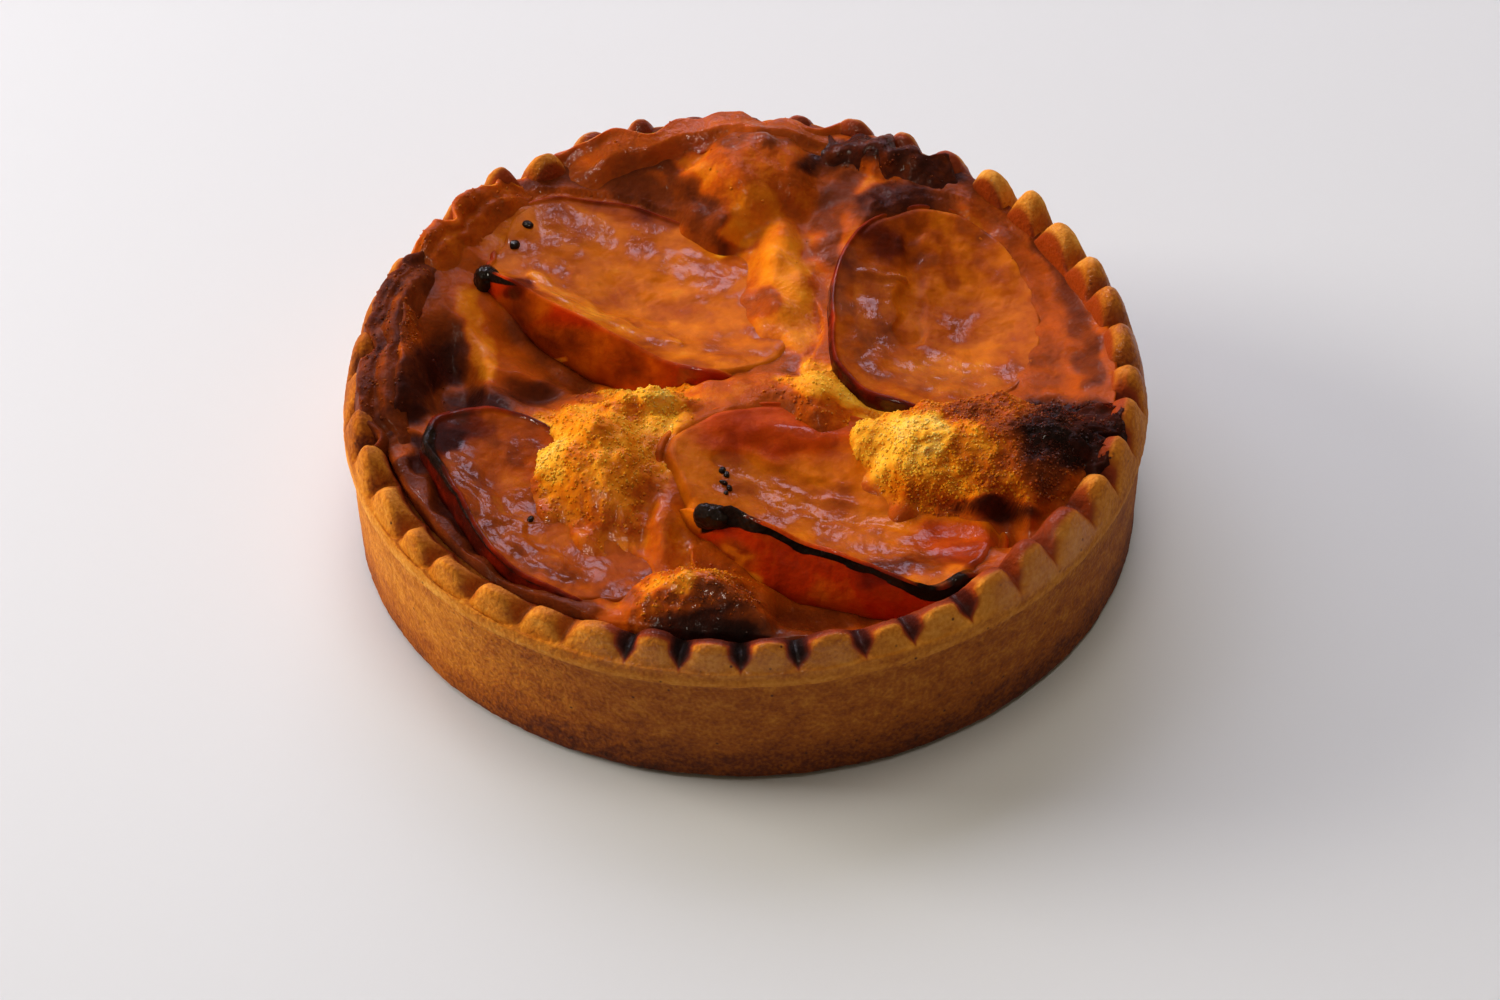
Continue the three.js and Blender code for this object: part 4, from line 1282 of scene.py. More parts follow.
filling = make_object(
    "almond_filling_baked",
    np.concatenate([points, foot, under]),
    quads.tolist() + wall.tolist() + bottom.tolist(),
    {
        "bake_light_and_shade": with_foot(fields["bake_light_and_shade"], 0.5),
        "wet": with_foot(fields["wet"]),
        "crumbly": with_foot(fields["crumbly"]),
        "lump": with_foot(0.3 + 0.7 * fields["crumbly"]),
        "grain": with_foot(0.15 + 0.85 * fields["crumbly"]),
        "pebble": with_foot(fields["crumbly"]),
    },
)
filling = roughen(filling, ALMOND_SPONGE, 4, lump=(5, 1.4), grain=(0.9, 0.5), pebble=(1.2, 0.7))
hand_over(filling, "almond_filling", "almond_filling")

# %% [markdown]
# ## Baked apricot
# The flesh is soft, orange and slick with its own syrup, the skin under it redder, and the cut edge has
# dried, curled and charred. Light goes a little way into the fruit, so it gets subsurface scattering.
# Four fields tell flesh from skin, and say how far each spot is browned, charred or glazed. The
# browning field also darkens some walls and the fruit under an overhang, as painted shade.

# %% Baked apricot material
FIBRE = 1.1  # mm
JUICE_PATCH = 5.0  # mm
CHAR_CRACK = 0.7  # mm


def baked_apricot():
    """Flesh or skin, browned or charred, with painted shade where the browning field carries it, and syrup
    where a field and the juice patches let it lie.
    """
    material = new_material("apricot_flesh_roasted_in_syrup")
    tree = material.node_tree
    place = add(tree, "ShaderNodeTexCoord").outputs["Object"]
    patches = add(
        tree, "ShaderNodeTexNoise", {"Vector": place, "Scale": 1 / (JUICE_PATCH * MM), "Detail": 2.0}
    )
    fibres = add(tree, "ShaderNodeTexNoise", {"Vector": place, "Scale": 1 / (FIBRE * MM), "Detail": 4.0})
    cracks = add(tree, "ShaderNodeTexVoronoi", {"Vector": place, "Scale": 1 / (CHAR_CRACK * MM)})
    flesh = add(tree, "ShaderNodeAttribute", attribute_name="flesh").outputs["Fac"]
    browned_and_shaded = add(tree, "ShaderNodeAttribute", attribute_name="browned_and_shaded").outputs["Fac"]
    char = add(tree, "ShaderNodeAttribute", attribute_name="char").outputs["Fac"]
    glaze = add(tree, "ShaderNodeAttribute", attribute_name="glaze").outputs["Fac"]
    patchy = add(tree, "ShaderNodeMath", {0: patches, 1: 0.8, 2: -0.4}, operation="MULTIPLY_ADD")
    streaky = add(tree, "ShaderNodeMath", {0: fibres, 1: 0.2, 2: -0.1}, operation="MULTIPLY_ADD")
    mottle = add(tree, "ShaderNodeMath", {0: patchy, 1: streaky}, operation="ADD")
    roasted_and_shaded = add(tree, "ShaderNodeMath", {0: browned_and_shaded, 1: mottle}, operation="ADD")
    inside = add(
        tree,
        "ShaderNodeValToRGB",
        {"Fac": roasted_and_shaded},
        stops=[(0.0, "#f0a224"), (0.3, "#ce6c08"), (0.55, "#a24604"), (0.8, "#621e03"), (1.0, "#300c03")],
    )
    outside = add(
        tree,
        "ShaderNodeValToRGB",
        {"Fac": roasted_and_shaded},
        stops=[(0.0, "#dc6a10"), (0.35, "#bc3004"), (0.7, "#801803"), (1.0, "#380a03")],
    )
    fruit = add(tree, "ShaderNodeMix", {"Factor": flesh, "A": outside, "B": inside}, data_type="RGBA")
    ragged = add(tree, "ShaderNodeMath", {0: streaky, 1: char}, operation="ADD")
    burnt = add(tree, "ShaderNodeMapRange", {"Value": ragged, "From Min": 0.35, "From Max": 0.7})
    colour = add(
        tree, "ShaderNodeMix", {"Factor": burnt, "A": fruit, "B": linear("#1a100c")}, data_type="RGBA"
    )
    soaked = add(tree, "ShaderNodeMath", {0: patches, 1: 1.6, 2: glaze}, operation="MULTIPLY_ADD")
    syrup = add(tree, "ShaderNodeMapRange", {"Value": soaked, "From Min": 1.2, "From Max": 1.35})
    dry = add(tree, "ShaderNodeMath", {0: burnt, 1: -0.4, 2: 1.0}, operation="MULTIPLY_ADD")
    coated = add(tree, "ShaderNodeMath", {0: syrup, 1: dry}, operation="MULTIPLY")
    crackle = add(tree, "ShaderNodeMath", {0: cracks, 1: burnt}, operation="MULTIPLY")
    rough = add(tree, "ShaderNodeMath", {0: fibres, 1: 1.0, 2: crackle}, operation="MULTIPLY_ADD")
    relief = add(tree, "ShaderNodeBump", {"Height": rough, "Strength": 0.6, "Distance": 0.25 * MM})
    ripple = add(tree, "ShaderNodeBump", {"Height": rough, "Strength": 0.4, "Distance": 0.25 * MM})
    shader = add(
        tree,
        "ShaderNodeBsdfPrincipled",
        {
            "Base Color": colour,
            "Roughness": 0.45,
            "IOR": 1.42,
            "Specular IOR Level": 0.08,
            "Subsurface Weight": 0.15,
            "Subsurface Radius": (3.0 * MM, 1.0 * MM, 0.3 * MM),
            "Subsurface Scale": 1.0,
            "Coat Weight": coated,
            "Coat Roughness": 0.08,
            "Coat IOR": 1.42,
            "Coat Normal": ripple,
            "Normal": relief,
        },
    )
    add(tree, "ShaderNodeOutputMaterial", {"Surface": shader})
    return material


BAKED_APRICOT = baked_apricot()
print(BAKED_APRICOT.name, len(BAKED_APRICOT.node_tree.nodes), "nodes")

# %% [markdown]
# ## Apricot halves
# Each half is a skin of rings: up the outside from its lowest point, over the thin rim, and down into
# the hollow where the stone lay. The formulas are those of the solids. Finer waves roughen the rim, and
# arcs of char follow it, given in degrees round the half's own outline.

# %% Apricot halves
HALF_COLUMNS = 240
OUTSIDE_RINGS = 44
RIM_RINGS = 9
INSIDE_RINGS = 56
RIM_WALL = 0.7  # mm
RIM_ROUND = 0.3  # mm
UNDER_FILM = 2.0  # mm that the flesh goes down where filling lies over it
BELLY = 0.1  # how much fuller than a plain oval the outside is
FLESH_WRINKLE = 0.1  # mm
FLESH_GLAZE = 0.4  # where no mark lies
CHAR_RAGGEDNESS = 0.12
CHAR_AMOUNT = {"back_left": 1.3, "back_right": 0.46, "front_right": 1.6, "front_left": 1.1}
CHAR_REACH = {  # how far the char reaches down the rim's outside in mm, at angles round the outline
    "back_left": {-150: 0, -144: 1.8, -136: 1.9, -128: 1.0, -121: 0},
    "back_right": {-165: 0, -150: 0.9, -60: 1.0, -30: 0.6, -15: 0},
    "front_right": {
        -141: 0, -136: 2.0, -131: 4.0, -125: 3.2, -118: 1.5, -104: 0.9, -92: 1.0, -80: 0.8, -66: 1.0,
        -56: 0.9, -46: 1.4, -38: 1.6, -28: 1.6, -18: 1.2, -8: 0,
    },
    "front_left": {
        -172: 0.6, -160: 1.9, -150: 2.4, -141: 1.9, -132: 1.2, -115: 0.8, -90: 0.6, -60: 0.5, -45: 0,
        150: 0, 165: 0.5,
    },
}
CHAR_CORE = {"back_left": 0.5, "back_right": 0.3, "front_right": 0.8, "front_left": 0.1}  # black share
CHAR_INSIDE = 0.3  # how much of that it reaches down the inside
BROWNED = {"back_left": 0.46, "back_right": 0.54, "front_right": 0.45, "front_left": 0.62}
# The front left half's skin is set darkest: partly painted shade under its rim.
SKIN_BROWNED_AND_SHADED = {"back_left": 0.5, "back_right": 1.0, "front_right": 0.34, "front_left": 1.0}
FLESH_MARKS = [  # an oval's middle, half-sizes and turn, or a line and its half-width; what it sets
    # Partly painted shade: the far inner wall of the back left half is darkened, with some browning.
    ((-16, 34), (15, 5), -22, {"browned_and_shaded": 0.76, "glaze": 0.0}),
    ((-22, 27), (6, 4), -35, {"browned_and_shaded": 0.5, "glaze": 1.0}),
    ((-14, 13), (11, 5), -35, {"browned_and_shaded": 0.43, "glaze": 0.15}),
    ((-5, 18), (7, 5), -20, {"browned_and_shaded": 0.46, "glaze": 0.6}),
    ((0.8, 9), (4, 5), 0, {"browned_and_shaded": 0.52, "glaze": 0.5}),
    ((-3, 22), (1.5, 1.5), 0, {"browned_and_shaded": 0.0}),
    ((-31, 26), (3, 6), 10, {"browned_and_shaded": 0.42, "glaze": 0.3}),
    # Painted shade: the near outer wall of the back left half, facing away from the light, is darkened.
    ((-19, 1), (13, 5.5), -25, {"browned_and_shaded": 0.58, "glaze": 0.1, "flesh": 0.75}),
    ((-28, 11), (4, 4.5), -20, {"browned_and_shaded": 0.6, "flesh": 0.7}),
    ((-28.5, 15), (2.6, 2), -40, {"browned_and_shaded": 0.9}),
    ((-24, 1.5), (1.2, 0.8), 0, {"browned_and_shaded": 0.0}),
    ((18, 25), (6, 9), -20, {"browned_and_shaded": 0.78, "glaze": 0.0}),
    ((16, 10), (4, 9), 0, {"browned_and_shaded": 0.52, "glaze": 0.9}),
    ((29, 10), (5.5, 13), -5, {"browned_and_shaded": 0.47, "glaze": 0.25}),
    ((26, -4), (8, 4), -10, {"browned_and_shaded": 0.33, "glaze": 0.8}),
    ([(31, 28), (34, 18), (35, 8), (34, -2)], 3.5, {"browned_and_shaded": 0.48, "glaze": 0.3}),
    # Partly painted shade: the left inner wall of the back right half, facing away from the light, is
    # darkened.
    ([(14, 21), (13, 12), (13.2, 6), (15, -1), (17, -4)], 2.0, {"browned_and_shaded": 0.66, "glaze": 0.6}),
    ((3, -12), (12.5, 7.5), -12, {"browned_and_shaded": 0.42, "glaze": -0.4, "flesh": 0.3}),
    ((6.5, -12.3), (10, 5), -12, {"lift": 0.6}),
    ([(3.8, -14.1), (7.1, -14.2), (10.6, -15.3)], 1.3, {"glaze": 0.8}),
    ((12, -30), (10, 4), -20, {"browned_and_shaded": 0.42, "glaze": 0.4}),
    ((25, -34), (6, 4), -15, {"browned_and_shaded": 0.58, "glaze": 0.9, "flesh": 0.4}),
    ([(14, -38.5), (20, -37.4), (26, -35.5)], 2.6, {"browned_and_shaded": 0.72, "glaze": 0.7}),
    ((-27, -25), (3, 5), -49, {"browned_and_shaded": 0.6, "glaze": 0.7}),
    ((-24, -33), (9, 4), -35, {"browned_and_shaded": 0.64, "glaze": 0.7}),
    ((-34.5, -11.5), (4, 4), -49, {"browned_and_shaded": 0.86, "glaze": 0.4}),
    ((-36.5, -14.5), (2.6, 4), -30, {"browned_and_shaded": 0.95, "glaze": 0.1}),
    ((-2.5, -36), (4, 3.5), -15, {"browned_and_shaded": 0.6, "glaze": 0.9, "char": 0.34, "flesh": 0.6}),
    ([(-5.6, -33), (-4, -36), (-2.8, -39.6)], 1.1, {"browned_and_shaded": 0.3, "flesh": 1.0}),
    ([(-3, -34), (-1, -35.7), (0.6, -40.6)], 1.0, {"browned_and_shaded": 0.3, "flesh": 1.0}),
    ([(0, -35), (-2, -37), (-5, -38)], 0.9, {"browned_and_shaded": 0.35, "flesh": 1.0}),
    # Painted shadow under the ragged edge of the right dome, on the fruit.
    ((29.2, -28), (6, 2.4), -12, {"browned_and_shaded": 0.92, "glaze": 0.0}),
    ((-7, -29), (1.8, 2.6), 20, {"browned_and_shaded": 0.5, "flesh": 1.0, "char": 0.0}),
    ((-10.5, -15.5), (2.4, 3.4), 0, {"browned_and_shaded": 0.5, "flesh": 1.0, "glaze": 0.0}),
    # Painted shade on the far inner wall of the back left half, near the back dome.
    ([(-12, 38), (-7, 32), (-4, 28.5)], 3.0, {"browned_and_shaded": 0.76, "glaze": 0.0}),
    ((-1, 25), (3, 3), 0, {"browned_and_shaded": 0.44}),
    ([(-27, 17), (-21, 11), (-14, 6), (-9, 3.5)], 1.3, {"lift": 0.4, "glaze": 1.0, "browned_and_shaded": 0.3}),
    # Painted shade in the crease of the back right half's fold; the lift cuts the crease itself.
    ([(22.5, 24), (22, 14), (21, 3)], 2.2, {"browned_and_shaded": 0.56, "glaze": 0.1, "lift": -0.6}),
    ([(26, 24), (27, 19), (27, 14)], 1.8, {"browned_and_shaded": 0.64, "glaze": 0.2}),
    ([(14, 16.5), (17, 15.5), (20.5, 14)], 0.8, {"glaze": 1.0, "lift": 0.4}),
    ([(-3, -19), (1, -20), (6, -23), (12, -25)], 2.0, {"lift": -0.4}),
    ([(-2.3, -18.1), (3.6, -24.8), (10, -28.2), (19, -30)], 2.4, {"glaze": 0.9, "lift": -0.4}),
    (
        [(-34.6, -17), (-30.6, -25), (-26, -33), (-21.5, -37)],
        1.5,
        {"glaze": 1.0, "browned_and_shaded": 0.6, "lift": 0.3},
    ),
]


def half_frame(name):
    """How a half's own frame is turned: its cut face is leaned, and its long axis turned."""
    _, _, turn, lean, _, _ = HALVES[name]
    face_up = Vector((-lean[0], -lean[1], 1)).normalized()
    tilt = Vector((0, 0, 1)).rotation_difference(face_up).to_matrix()
    return np.array(tilt @ Matrix.Rotation(math.radians(turn), 3, "Z"))


def half_rings(name):
    """Rings of a half in its own frame, how far each point is from the rim, and if it is on the flesh."""
    _, (long, short), _, _, _, _ = HALVES[name]
    hollow, stone, off = HOLLOWS[name]
    angle = np.arange(HALF_COLUMNS) * math.tau / HALF_COLUMNS
    rise, folded, lumps = rim_shape(name, angle)
    edge = at_angle(COVERED[name], angle)
    rings, from_rim, flesh = [], [], []

    def lay(share, z, distance, on_flesh, moved=0.0):
        """Adds one ring of points, with its distance from the rim and whether it is flesh."""
        wide = share * lumps
        x, y = wide * long * np.cos(angle) + moved * off[0], wide * short * np.sin(angle) + moved * off[1]
        rings.append(np.stack([x, y, z + 0 * angle], 1))
        from_rim.append(np.full(HALF_COLUMNS, distance))
        flesh.append(np.full(HALF_COLUMNS, on_flesh))

    for ring in range(OUTSIDE_RINGS):
        latitude = ((OUTSIDE_RINGS - 1 - ring) / OUTSIDE_RINGS) ** 1.4 * math.pi / 2
        upright = math.cos(latitude)
        share = upright + BELLY * math.sin(2 * latitude) - folded * upright**5
        stand = (rise - UNDER_FILM * fade(1, edge, edge + 0.1)) * upright**3
        lay(share, stand - HALF_DEPTH * math.sin(latitude), -latitude * HALF_DEPTH, 0.0)
    for ring in range(1, RIM_RINGS):
        over = ring / RIM_RINGS
        stand = rise - UNDER_FILM * fade(1, edge, edge + 0.1)
        lay(1 - folded - over * RIM_WALL / short, stand + RIM_ROUND * math.sin(math.pi * over), 0.0, over)
    for ring in range(INSIDE_RINGS):
        out = 1 - ring / INSIDE_RINGS
        share = out * (1 - RIM_WALL / short - folded)
        dent = stone * math.exp(-((out / 0.5) ** 2)) + UNDER_FILM * fade(out, edge, edge + 0.1)
        lay(share, rise * out**3 - hollow * (1 - out**BOWL) - dent, (1 - out) * short, 1.0, 1 - out * out)
    return np.stack(rings), np.stack(from_rim), np.stack(flesh), angle


def with_poles(field, low, high):
    """A field on the rings, with a value for each of the two poles."""
    return np.concatenate([[low], np.ravel(field), [high]])


for name, (middle, *_) in HALVES.items():
    rings, from_rim, flesh, angle = half_rings(name)
    ragged = np.sin(23 * angle) * np.sin(7 * angle)
    reach = at_angle(CHAR_REACH[name], angle) * (1 + CHAR_RAGGEDNESS * ragged)
    reach = np.maximum(np.where(from_rim < 0, reach, CHAR_INSIDE * reach), 0.01)
    char = CHAR_AMOUNT[name] * fade(np.abs(from_rim) / reach, 1.1, CHAR_CORE[name]) * fade(reach, 0.1, 0.9)
    from_rim = np.abs(from_rim)
    place = half_frame(name)
    hollow, stone, off = HOLLOWS[name]
    poles = np.array([[0, 0, -HALF_DEPTH], [off[0], off[1], -hollow - stone]])
    own = np.concatenate([poles[:1], rings.reshape(-1, 3), poles[1:]])
    points = own @ place.T + np.array(middle)
    on_flesh = with_poles(flesh, 0, 1)
    fields = {
        "browned_and_shaded": SKIN_BROWNED_AND_SHADED[name] + (BROWNED[name] - SKIN_BROWNED_AND_SHADED[name]) * on_flesh,
        "char": with_poles(char, 0, 0),
        "flesh": on_flesh.copy(),
        "glaze": FLESH_GLAZE + 0 * on_flesh,
        "lift": 0 * on_flesh,
    }
    paint(fields, FLESH_MARKS, points)
    away = with_poles(from_rim, HALF_DEPTH, HALF_DEPTH)
    wrinkled = on_flesh * fade(away, 0.3, 3)
    lift = fields.pop("lift") + FLESH_WRINKLE * rumple(own[:, 0] / 1.5, own[:, 1], 4.5, len(name))
    points[:, 2] += wrinkled * lift
    half = make_object(
        f"apricot_{name}_baked",
        points,
        ringed_faces(len(rings), HALF_COLUMNS),
        {
            **fields,
            "lump": fade(away, 0, 2),
            "grain": np.clip(fields["char"], 0.4 * on_flesh, 1),
        },
    )
    half = roughen(half, BAKED_APRICOT, len(name), lump=(4.5, 0.7), grain=(1.0, 0.5))
    hand_over(half, "baked_apricot", f"apricot_half_{name}")

# %% [markdown]
# ## Charred tips and specks
# At two places the cut edge has drawn together and burnt to a rough black knob, and burnt crumbs lie on
# the fruit. Each is a small oval ball, blunted, deeper at one end, and roughened by the same relief as
# everything else. The knobs stand on the rims. The specks have to show at places read off from the
# front, so each is found by a ray from the camera.

# %% Places found by rays
def surface_of(pieces):
    """A search tree of the triangles of these pieces."""
    corners, triangles = [], []
    for piece in pieces:
        piece.data.calc_loop_triangles()
        triangles += [[c + len(corners) for c in t.vertices] for t in piece.data.loop_triangles]
        corners += [v.co.copy() for v in piece.data.vertices]
    return BVHTree.FromPolygons(corners, triangles, all_triangles=True)


def seen_at(surface, x, y):
    """The point in mm that the camera sees at a place on the plan."""
    start = camera.location
    return np.array(surface.ray_cast(start, Vector((x * MM, y * MM, RIM_LEVEL * MM)) - start)[0]) / MM


fruit = [bpy.data.objects[f"apricot_{name}_baked"] for name in HALVES]
tart_top = surface_of([filling, *fruit])
print("at the middle the camera sees", seen_at(tart_top, 0, 0).round(1))

# %% Charred tips and specks
KNOBS = [  # half, angle on its rim, half-sizes, turn in degrees, lift
    ("front_right", -130, (2.3, 1.3, 1.4), -14, -0.9),
    ("back_left", -138, (1.8, 1.5, 2.0), -40, -1.5),
]
SPECKS = [  # place on the plan, half-sizes
    ((-27.7, 27.4), (0.8, 0.6, 0.5)),
    ((-29.2, 23.2), (0.8, 0.7, 0.6)),
    ((-2.9, -20.6), (0.6, 0.4, 0.5)),
    ((-2.4, -21.3), (0.5, 0.4, 0.4)),
    ((-2.8, -22.6), (0.3, 0.6, 0.35)),
    ((-2.1, -23.6), (0.5, 0.35, 0.4)),
    ((-2.5, -24.4), (0.35, 0.3, 0.3)),
    ((-25.4, -28.0), (0.5, 0.35, 0.3)),
]
KNOB_RINGS = 24
KNOB_COLUMNS = 48
KNOB_BLUNTNESS = 0.85  # 1 for a ball, less for a blunter lump
KNOB_DEPTH = 1.2  # its underside's depth in half-sizes
KNOB_TAPER = 0.9  # how much deeper it is at one end, and thinner at the other
KNOB_CHAR = 1.6
KNOB_GLAZE = 0.9

latitude = (np.arange(1, KNOB_RINGS + 1) / (KNOB_RINGS + 1) - 0.5) * math.pi
longitude = np.arange(KNOB_COLUMNS) * math.tau / KNOB_COLUMNS
belt = np.cos(latitude)[:, None]
ball = np.stack(
    [belt * np.cos(longitude), belt * np.sin(longitude), np.sin(latitude)[:, None] + 0 * longitude], -1
).reshape(-1, 3)
ball = np.concatenate([[[0, 0, -1]], ball, [[0, 0, 1]]])
ball = np.sign(ball) * np.abs(ball) ** KNOB_BLUNTNESS
ball[:, 2] *= np.where(ball[:, 2] < 0, KNOB_DEPTH - KNOB_TAPER * ball[:, 0], 1)
places = []
for name, degrees, half, turn, lift in KNOBS:
    middle, (long, short), *_ = HALVES[name]
    angle = math.radians(degrees)
    rise, folded, lumps = rim_shape(name, angle)
    share = (1 - folded) * lumps
    own = np.array([share * long * math.cos(angle), share * short * math.sin(angle), rise + lift])
    places.append((half_frame(name) @ own + middle, half, turn))
for (x, y), half in SPECKS:
    places.append((seen_at(tart_top, x, y), half, 40 * x))
knob_points, knob_faces = [], []
for middle, half, turn in places:
    turned = np.array(Matrix.Rotation(math.radians(turn), 3, "Z"))
    first = len(knob_points) * len(ball)
    knob_faces += [[corner + first for corner in face] for face in ringed_faces(KNOB_RINGS, KNOB_COLUMNS)]
    knob_points.append((ball * half) @ turned.T + middle)
everywhere = np.ones(len(knob_points) * len(ball))
own_size = np.repeat([min(half) for _, half, _ in places], len(ball)) / 2
knobs = make_object(
    "charred_apricot_tips",
    np.concatenate(knob_points),
    knob_faces,
    {
        "flesh": everywhere,
        "char": everywhere * KNOB_CHAR,
        "browned_and_shaded": everywhere,
        "glaze": KNOB_GLAZE * everywhere,
        "lump": everywhere * np.minimum(own_size, 1),
        "grain": everywhere * np.minimum(own_size, 1),
    },
)
knobs = roughen(knobs, BAKED_APRICOT, 2, lump=(2.6, 1.4), grain=(0.6, 0.8))
hand_over(knobs, "baked_apricot")

# %% [markdown]
# ## Boiled over
# In a few places the filling has climbed over the rim and burnt there. Such a crust takes the shape of
# what it lies on, so rays are dropped onto the pieces below, their heights are evened out along the
# rim, and a thickness is added that dies away at both ends. A shrinkwrap would cling to every notch,
# which a thick spill bridges.

# %% Heights to lie on
case_and_filling = surface_of([case, filling])


def height_at(x, y):
    """The height in mm of the pastry or filling at each place."""
    places = zip(np.ravel(x) * MM, np.ravel(y) * MM)
    hits = [case_and_filling.ray_cast((px, py, 0.1), (0, 0, -1))[0] for px, py in places]
    heights = np.reshape([hit.z / MM if hit else NOTCH_HEIGHT for hit in hits], np.shape(x))
    return np.maximum(heights, NOTCH_HEIGHT - 1)


print("filling stands at", round(float(height_at(np.array(3.0), np.array(38.0))), 1), "mm near the back")

# %% Spilled filling
SPILLS = {  # middle and half-width in degrees, inner and outer radius, thickness, bake, gloss
    "left": (174, 24, 42.0, 48.4, 1.7, 0.76, 0.15),
    "left_back": (142, 14, 42.0, 48.0, 1.6, 0.56, 0.3),
    "back": (97, 26, 41.0, 47.0, 1.7, 0.58, 0.6),
    "back_right": (63, 14, 39.5, 45.8, 0.9, 0.84, 0.3),
    "right": (-19, 9, 41.0, 47.4, 0.8, 0.92, 0.1),
}
SPILL_STEPS = (90, 30)  # along the rim and across it
SPILL_ROOT = 1.2  # mm that its underside lies in what it covers
SPILL_EDGE = 0.4  # mm that its edge lies in it
SPILL_EVENING = 120  # passes that even out the heights along the rim
SPILL_WANDER = ((7, 0.03), (17, 0.02))  # waves along its outer edge, and their share of the radius


def spill(middle, half_width, inner, outer, thickness):
    """Points and faces of one spill: a top sheet and an underside that meets it along every edge."""
    along = np.linspace(-1, 1, SPILL_STEPS[0])[:, None]
    aside = np.linspace(0, 1, SPILL_STEPS[1])[None, :]
    wander = 1
    for number, (waves, amount) in enumerate(SPILL_WANDER, 1):
        wander = wander + amount * np.sin(waves * along + number * middle)
    radius = inner + (np.minimum(outer * wander, CROWN_RADIUS + 1) - inner) * aside
    angle = np.radians(middle + half_width * along) + 0 * radius
    x, y = radius * np.cos(angle), radius * np.sin(angle)
    under = height_at(x, y)
    even = under.copy()
    for _ in range(SPILL_EVENING):
        even[1:-1] = (even[:-2] + 2 * even[1:-1] + even[2:]) / 4
    body = fade(np.abs(along), 1.0, 0.6) * fade(aside, 0.0, 0.4) * fade(aside, 1.0, 0.86)
    edge = (np.abs(along) < 1) * (aside > 0) * (aside < 1)
    top = even + (thickness + SPILL_EDGE) * body - SPILL_EDGE
    low = np.minimum(under, top) - SPILL_ROOT * edge
    sheets = [np.stack([x, y, z], -1).reshape(-1, 3) for z in (np.where(edge, top, low), low)]
    index = np.arange(x.size).reshape(x.shape)
    cells = np.stack([index[:-1, :-1], index[:-1, 1:], index[1:, 1:], index[1:, :-1]], -1).reshape(-1, 4)
    faces = np.concatenate([cells, cells[:, ::-1] + x.size])
    return np.concatenate(sheets), faces, np.tile(np.ravel(body), 2)


spill_points, spill_faces, spill_fields = [], [], {"bake_light_and_shade": [], "wet": [], "lump": []}
for middle, half_width, inner, outer, thickness, baked, gloss in SPILLS.values():
    points, faces, body = spill(middle, half_width, inner, outer, thickness)
    spill_faces.append(faces + sum(len(p) for p in spill_points))
    spill_points.append(points)
    for field, values in (("bake_light_and_shade", baked), ("wet", gloss), ("lump", body * (1 - 0.6 * gloss))):
        spill_fields[field].append(values + 0 * body)
spill_fields = {field: np.concatenate(values) for field, values in spill_fields.items()}
dry = spill_fields["lump"] * (1 - spill_fields["wet"])
burnt_spill = make_object(
    "almond_filling_boiled_over",
    np.concatenate(spill_points),
    np.concatenate(spill_faces).tolist(),
    {**spill_fields, "grain": dry, "pebble": 0.6 * dry, "crumbly": 0.75 * dry},
)
merge_edges = bmesh.new()
merge_edges.from_mesh(burnt_spill.data)
bmesh.ops.remove_doubles(merge_edges, verts=merge_edges.verts, dist=0.001 * MM)
bmesh.ops.recalc_face_normals(merge_edges, faces=merge_edges.faces)
merge_edges.to_mesh(burnt_spill.data)
merge_edges.free()
burnt_spill = roughen(burnt_spill, ALMOND_SPONGE, 9, lump=(3.5, 1.0), grain=(1.0, 0.6), pebble=(1.4, 0.8))
hand_over(burnt_spill, "almond_filling")

# %% [markdown]
# ## Crumbs
# The dry tops of the domes are loose crumb: grains under a millimetre, some of them shiny with sugar. A
# geometry tree scatters low balls over the surface, as thickly as the field "crumbly" says, each
# squashed and turned by chance. They take the baking of the spot they stand on, because points inherit
# the fields of the faces, and their material paints them a step paler: a painted glow, as if lit
# through from behind.

# %% Crumb tree
crumb_tree, given = new_tree(
    "Crumbs",
    {
        "Geometry": "Geometry",
        "Crumbs per square metre": "Float",
        "Smallest": "Float",
        "Largest": "Float",
        "Seed": "Int",
        "Finish": "Material",
    },
)
where = add(crumb_tree, "GeometryNodeInputNamedAttribute", {"Name": "crumbly"}, data_type="FLOAT")
crowded = add(crumb_tree, "ShaderNodeMath", {0: where, 1: 3.0}, operation="POWER")
thickness = add(
    crumb_tree, "ShaderNodeMath", {0: crowded, 1: given["Crumbs per square metre"]}, operation="MULTIPLY"
)
spots = add(
    crumb_tree,
    "GeometryNodeDistributePointsOnFaces",
    {"Mesh": given["Geometry"], "Density": thickness, "Seed": given["Seed"]},
)
ball = add(crumb_tree, "GeometryNodeMeshIcoSphere", {"Radius": 1.0, "Subdivisions": 1})
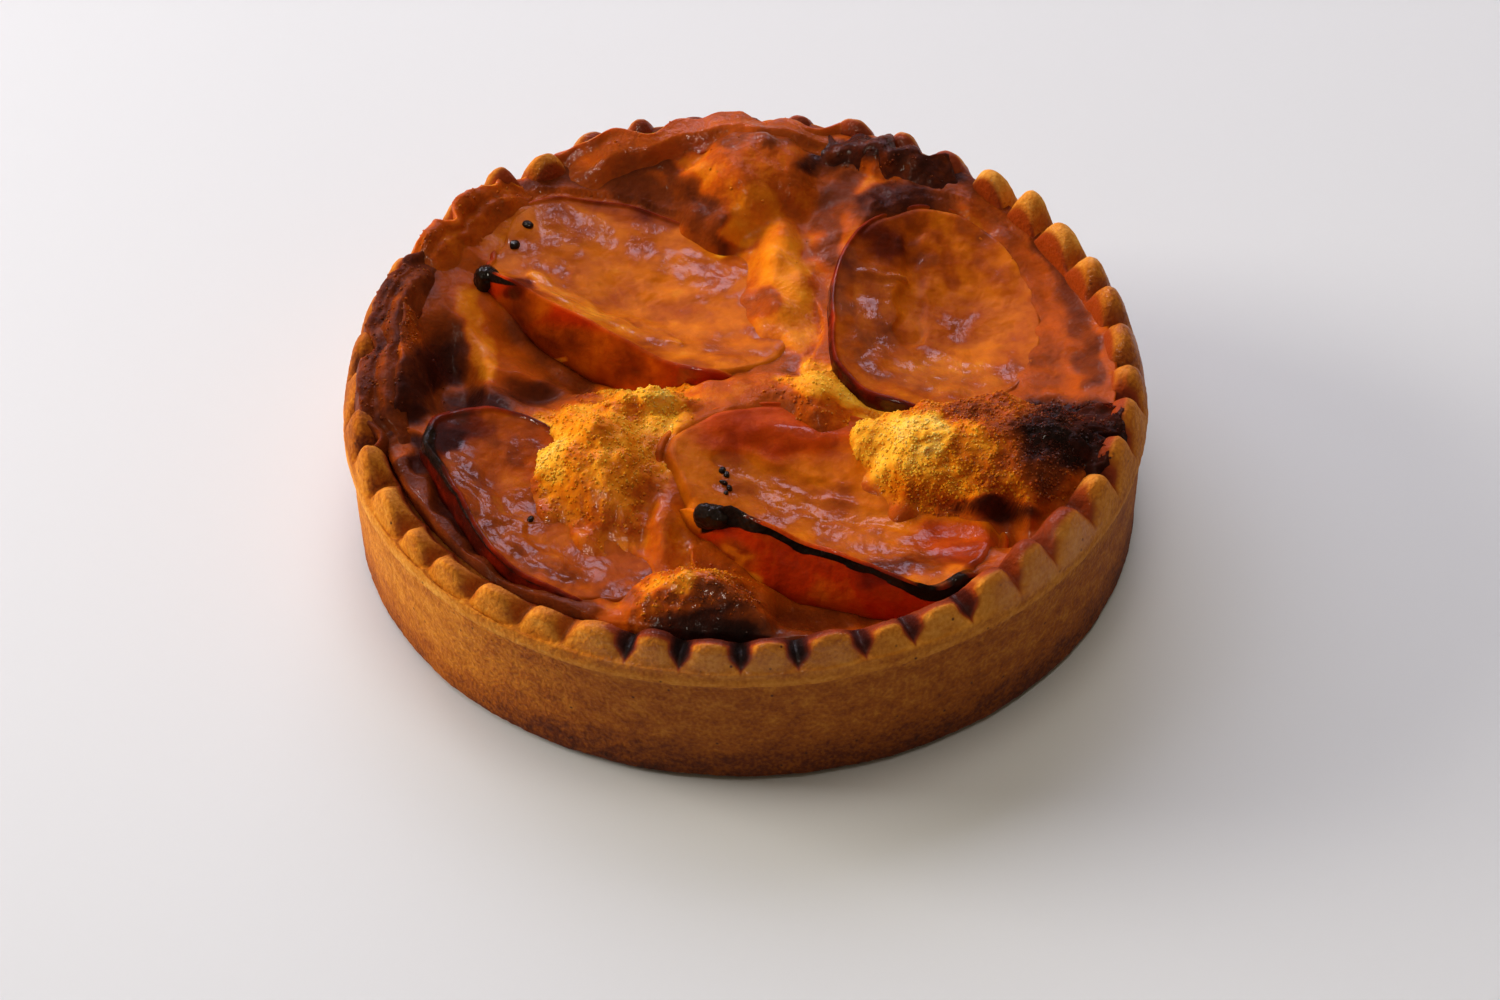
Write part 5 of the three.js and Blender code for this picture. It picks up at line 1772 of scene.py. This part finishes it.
squash = add(
    crumb_tree,
    "FunctionNodeRandomValue",
    {"Min": (0.5, 0.5, 0.5), "Max": (1.0, 1.0, 1.0), "Seed": given["Seed"]},
    data_type="FLOAT_VECTOR",
)
size = add(
    crumb_tree,
    "FunctionNodeRandomValue",
    {"Min": given["Smallest"], "Max": given["Largest"], "Seed": given["Seed"]},
    data_type="FLOAT",
)
scale = add(crumb_tree, "ShaderNodeVectorMath", {0: squash, "Scale": size}, operation="SCALE")
angles = add(
    crumb_tree,
    "FunctionNodeRandomValue",
    {"Max": (math.tau, math.tau, math.tau), "Seed": given["Seed"]},
    data_type="FLOAT_VECTOR",
)
turned = add(crumb_tree, "FunctionNodeEulerToRotation", {"Euler": angles})
grains = add(
    crumb_tree,
    "GeometryNodeInstanceOnPoints",
    {"Points": spots, "Instance": ball, "Rotation": turned, "Scale": scale},
)
grains = add(crumb_tree, "GeometryNodeRealizeInstances", {"Geometry": grains})
grains = add(crumb_tree, "GeometryNodeSetMaterial", {"Geometry": grains, "Material": given["Finish"]})
add(crumb_tree, "NodeGroupOutput", {"Geometry": grains})
print("crumb tree:", len(crumb_tree.nodes), "nodes")

# %% Crumbs
CRUMBS_PER_SQUARE_METRE = 6e6  # where the surface is all crumb
CRUMB_SIZES = (0.08, 0.3)  # mm

for name, ground, seed in (("crumbs_on_the_domes", filling, 5), ("crumbs_on_the_spill", burnt_spill, 6)):
    crumbs = bpy.data.objects.new(name, ground.data.copy())
    scene.collection.objects.link(crumbs)
    set_field(crumbs, "wet", np.zeros(len(crumbs.data.vertices)))
    crumbs = run_tree(
        crumbs,
        crumb_tree,
        {
            "Crumbs per square metre": CRUMBS_PER_SQUARE_METRE,
            "Smallest": CRUMB_SIZES[0] * MM,
            "Largest": CRUMB_SIZES[1] * MM,
            "Seed": seed,
            "Finish": SUGARED_CRUMB,
        },
    )
    hand_over(crumbs, "almond_filling")

# %% [markdown]
# ## Finish
# The view layer is brought up to date.

# %% Finish
bpy.context.view_layer.update()
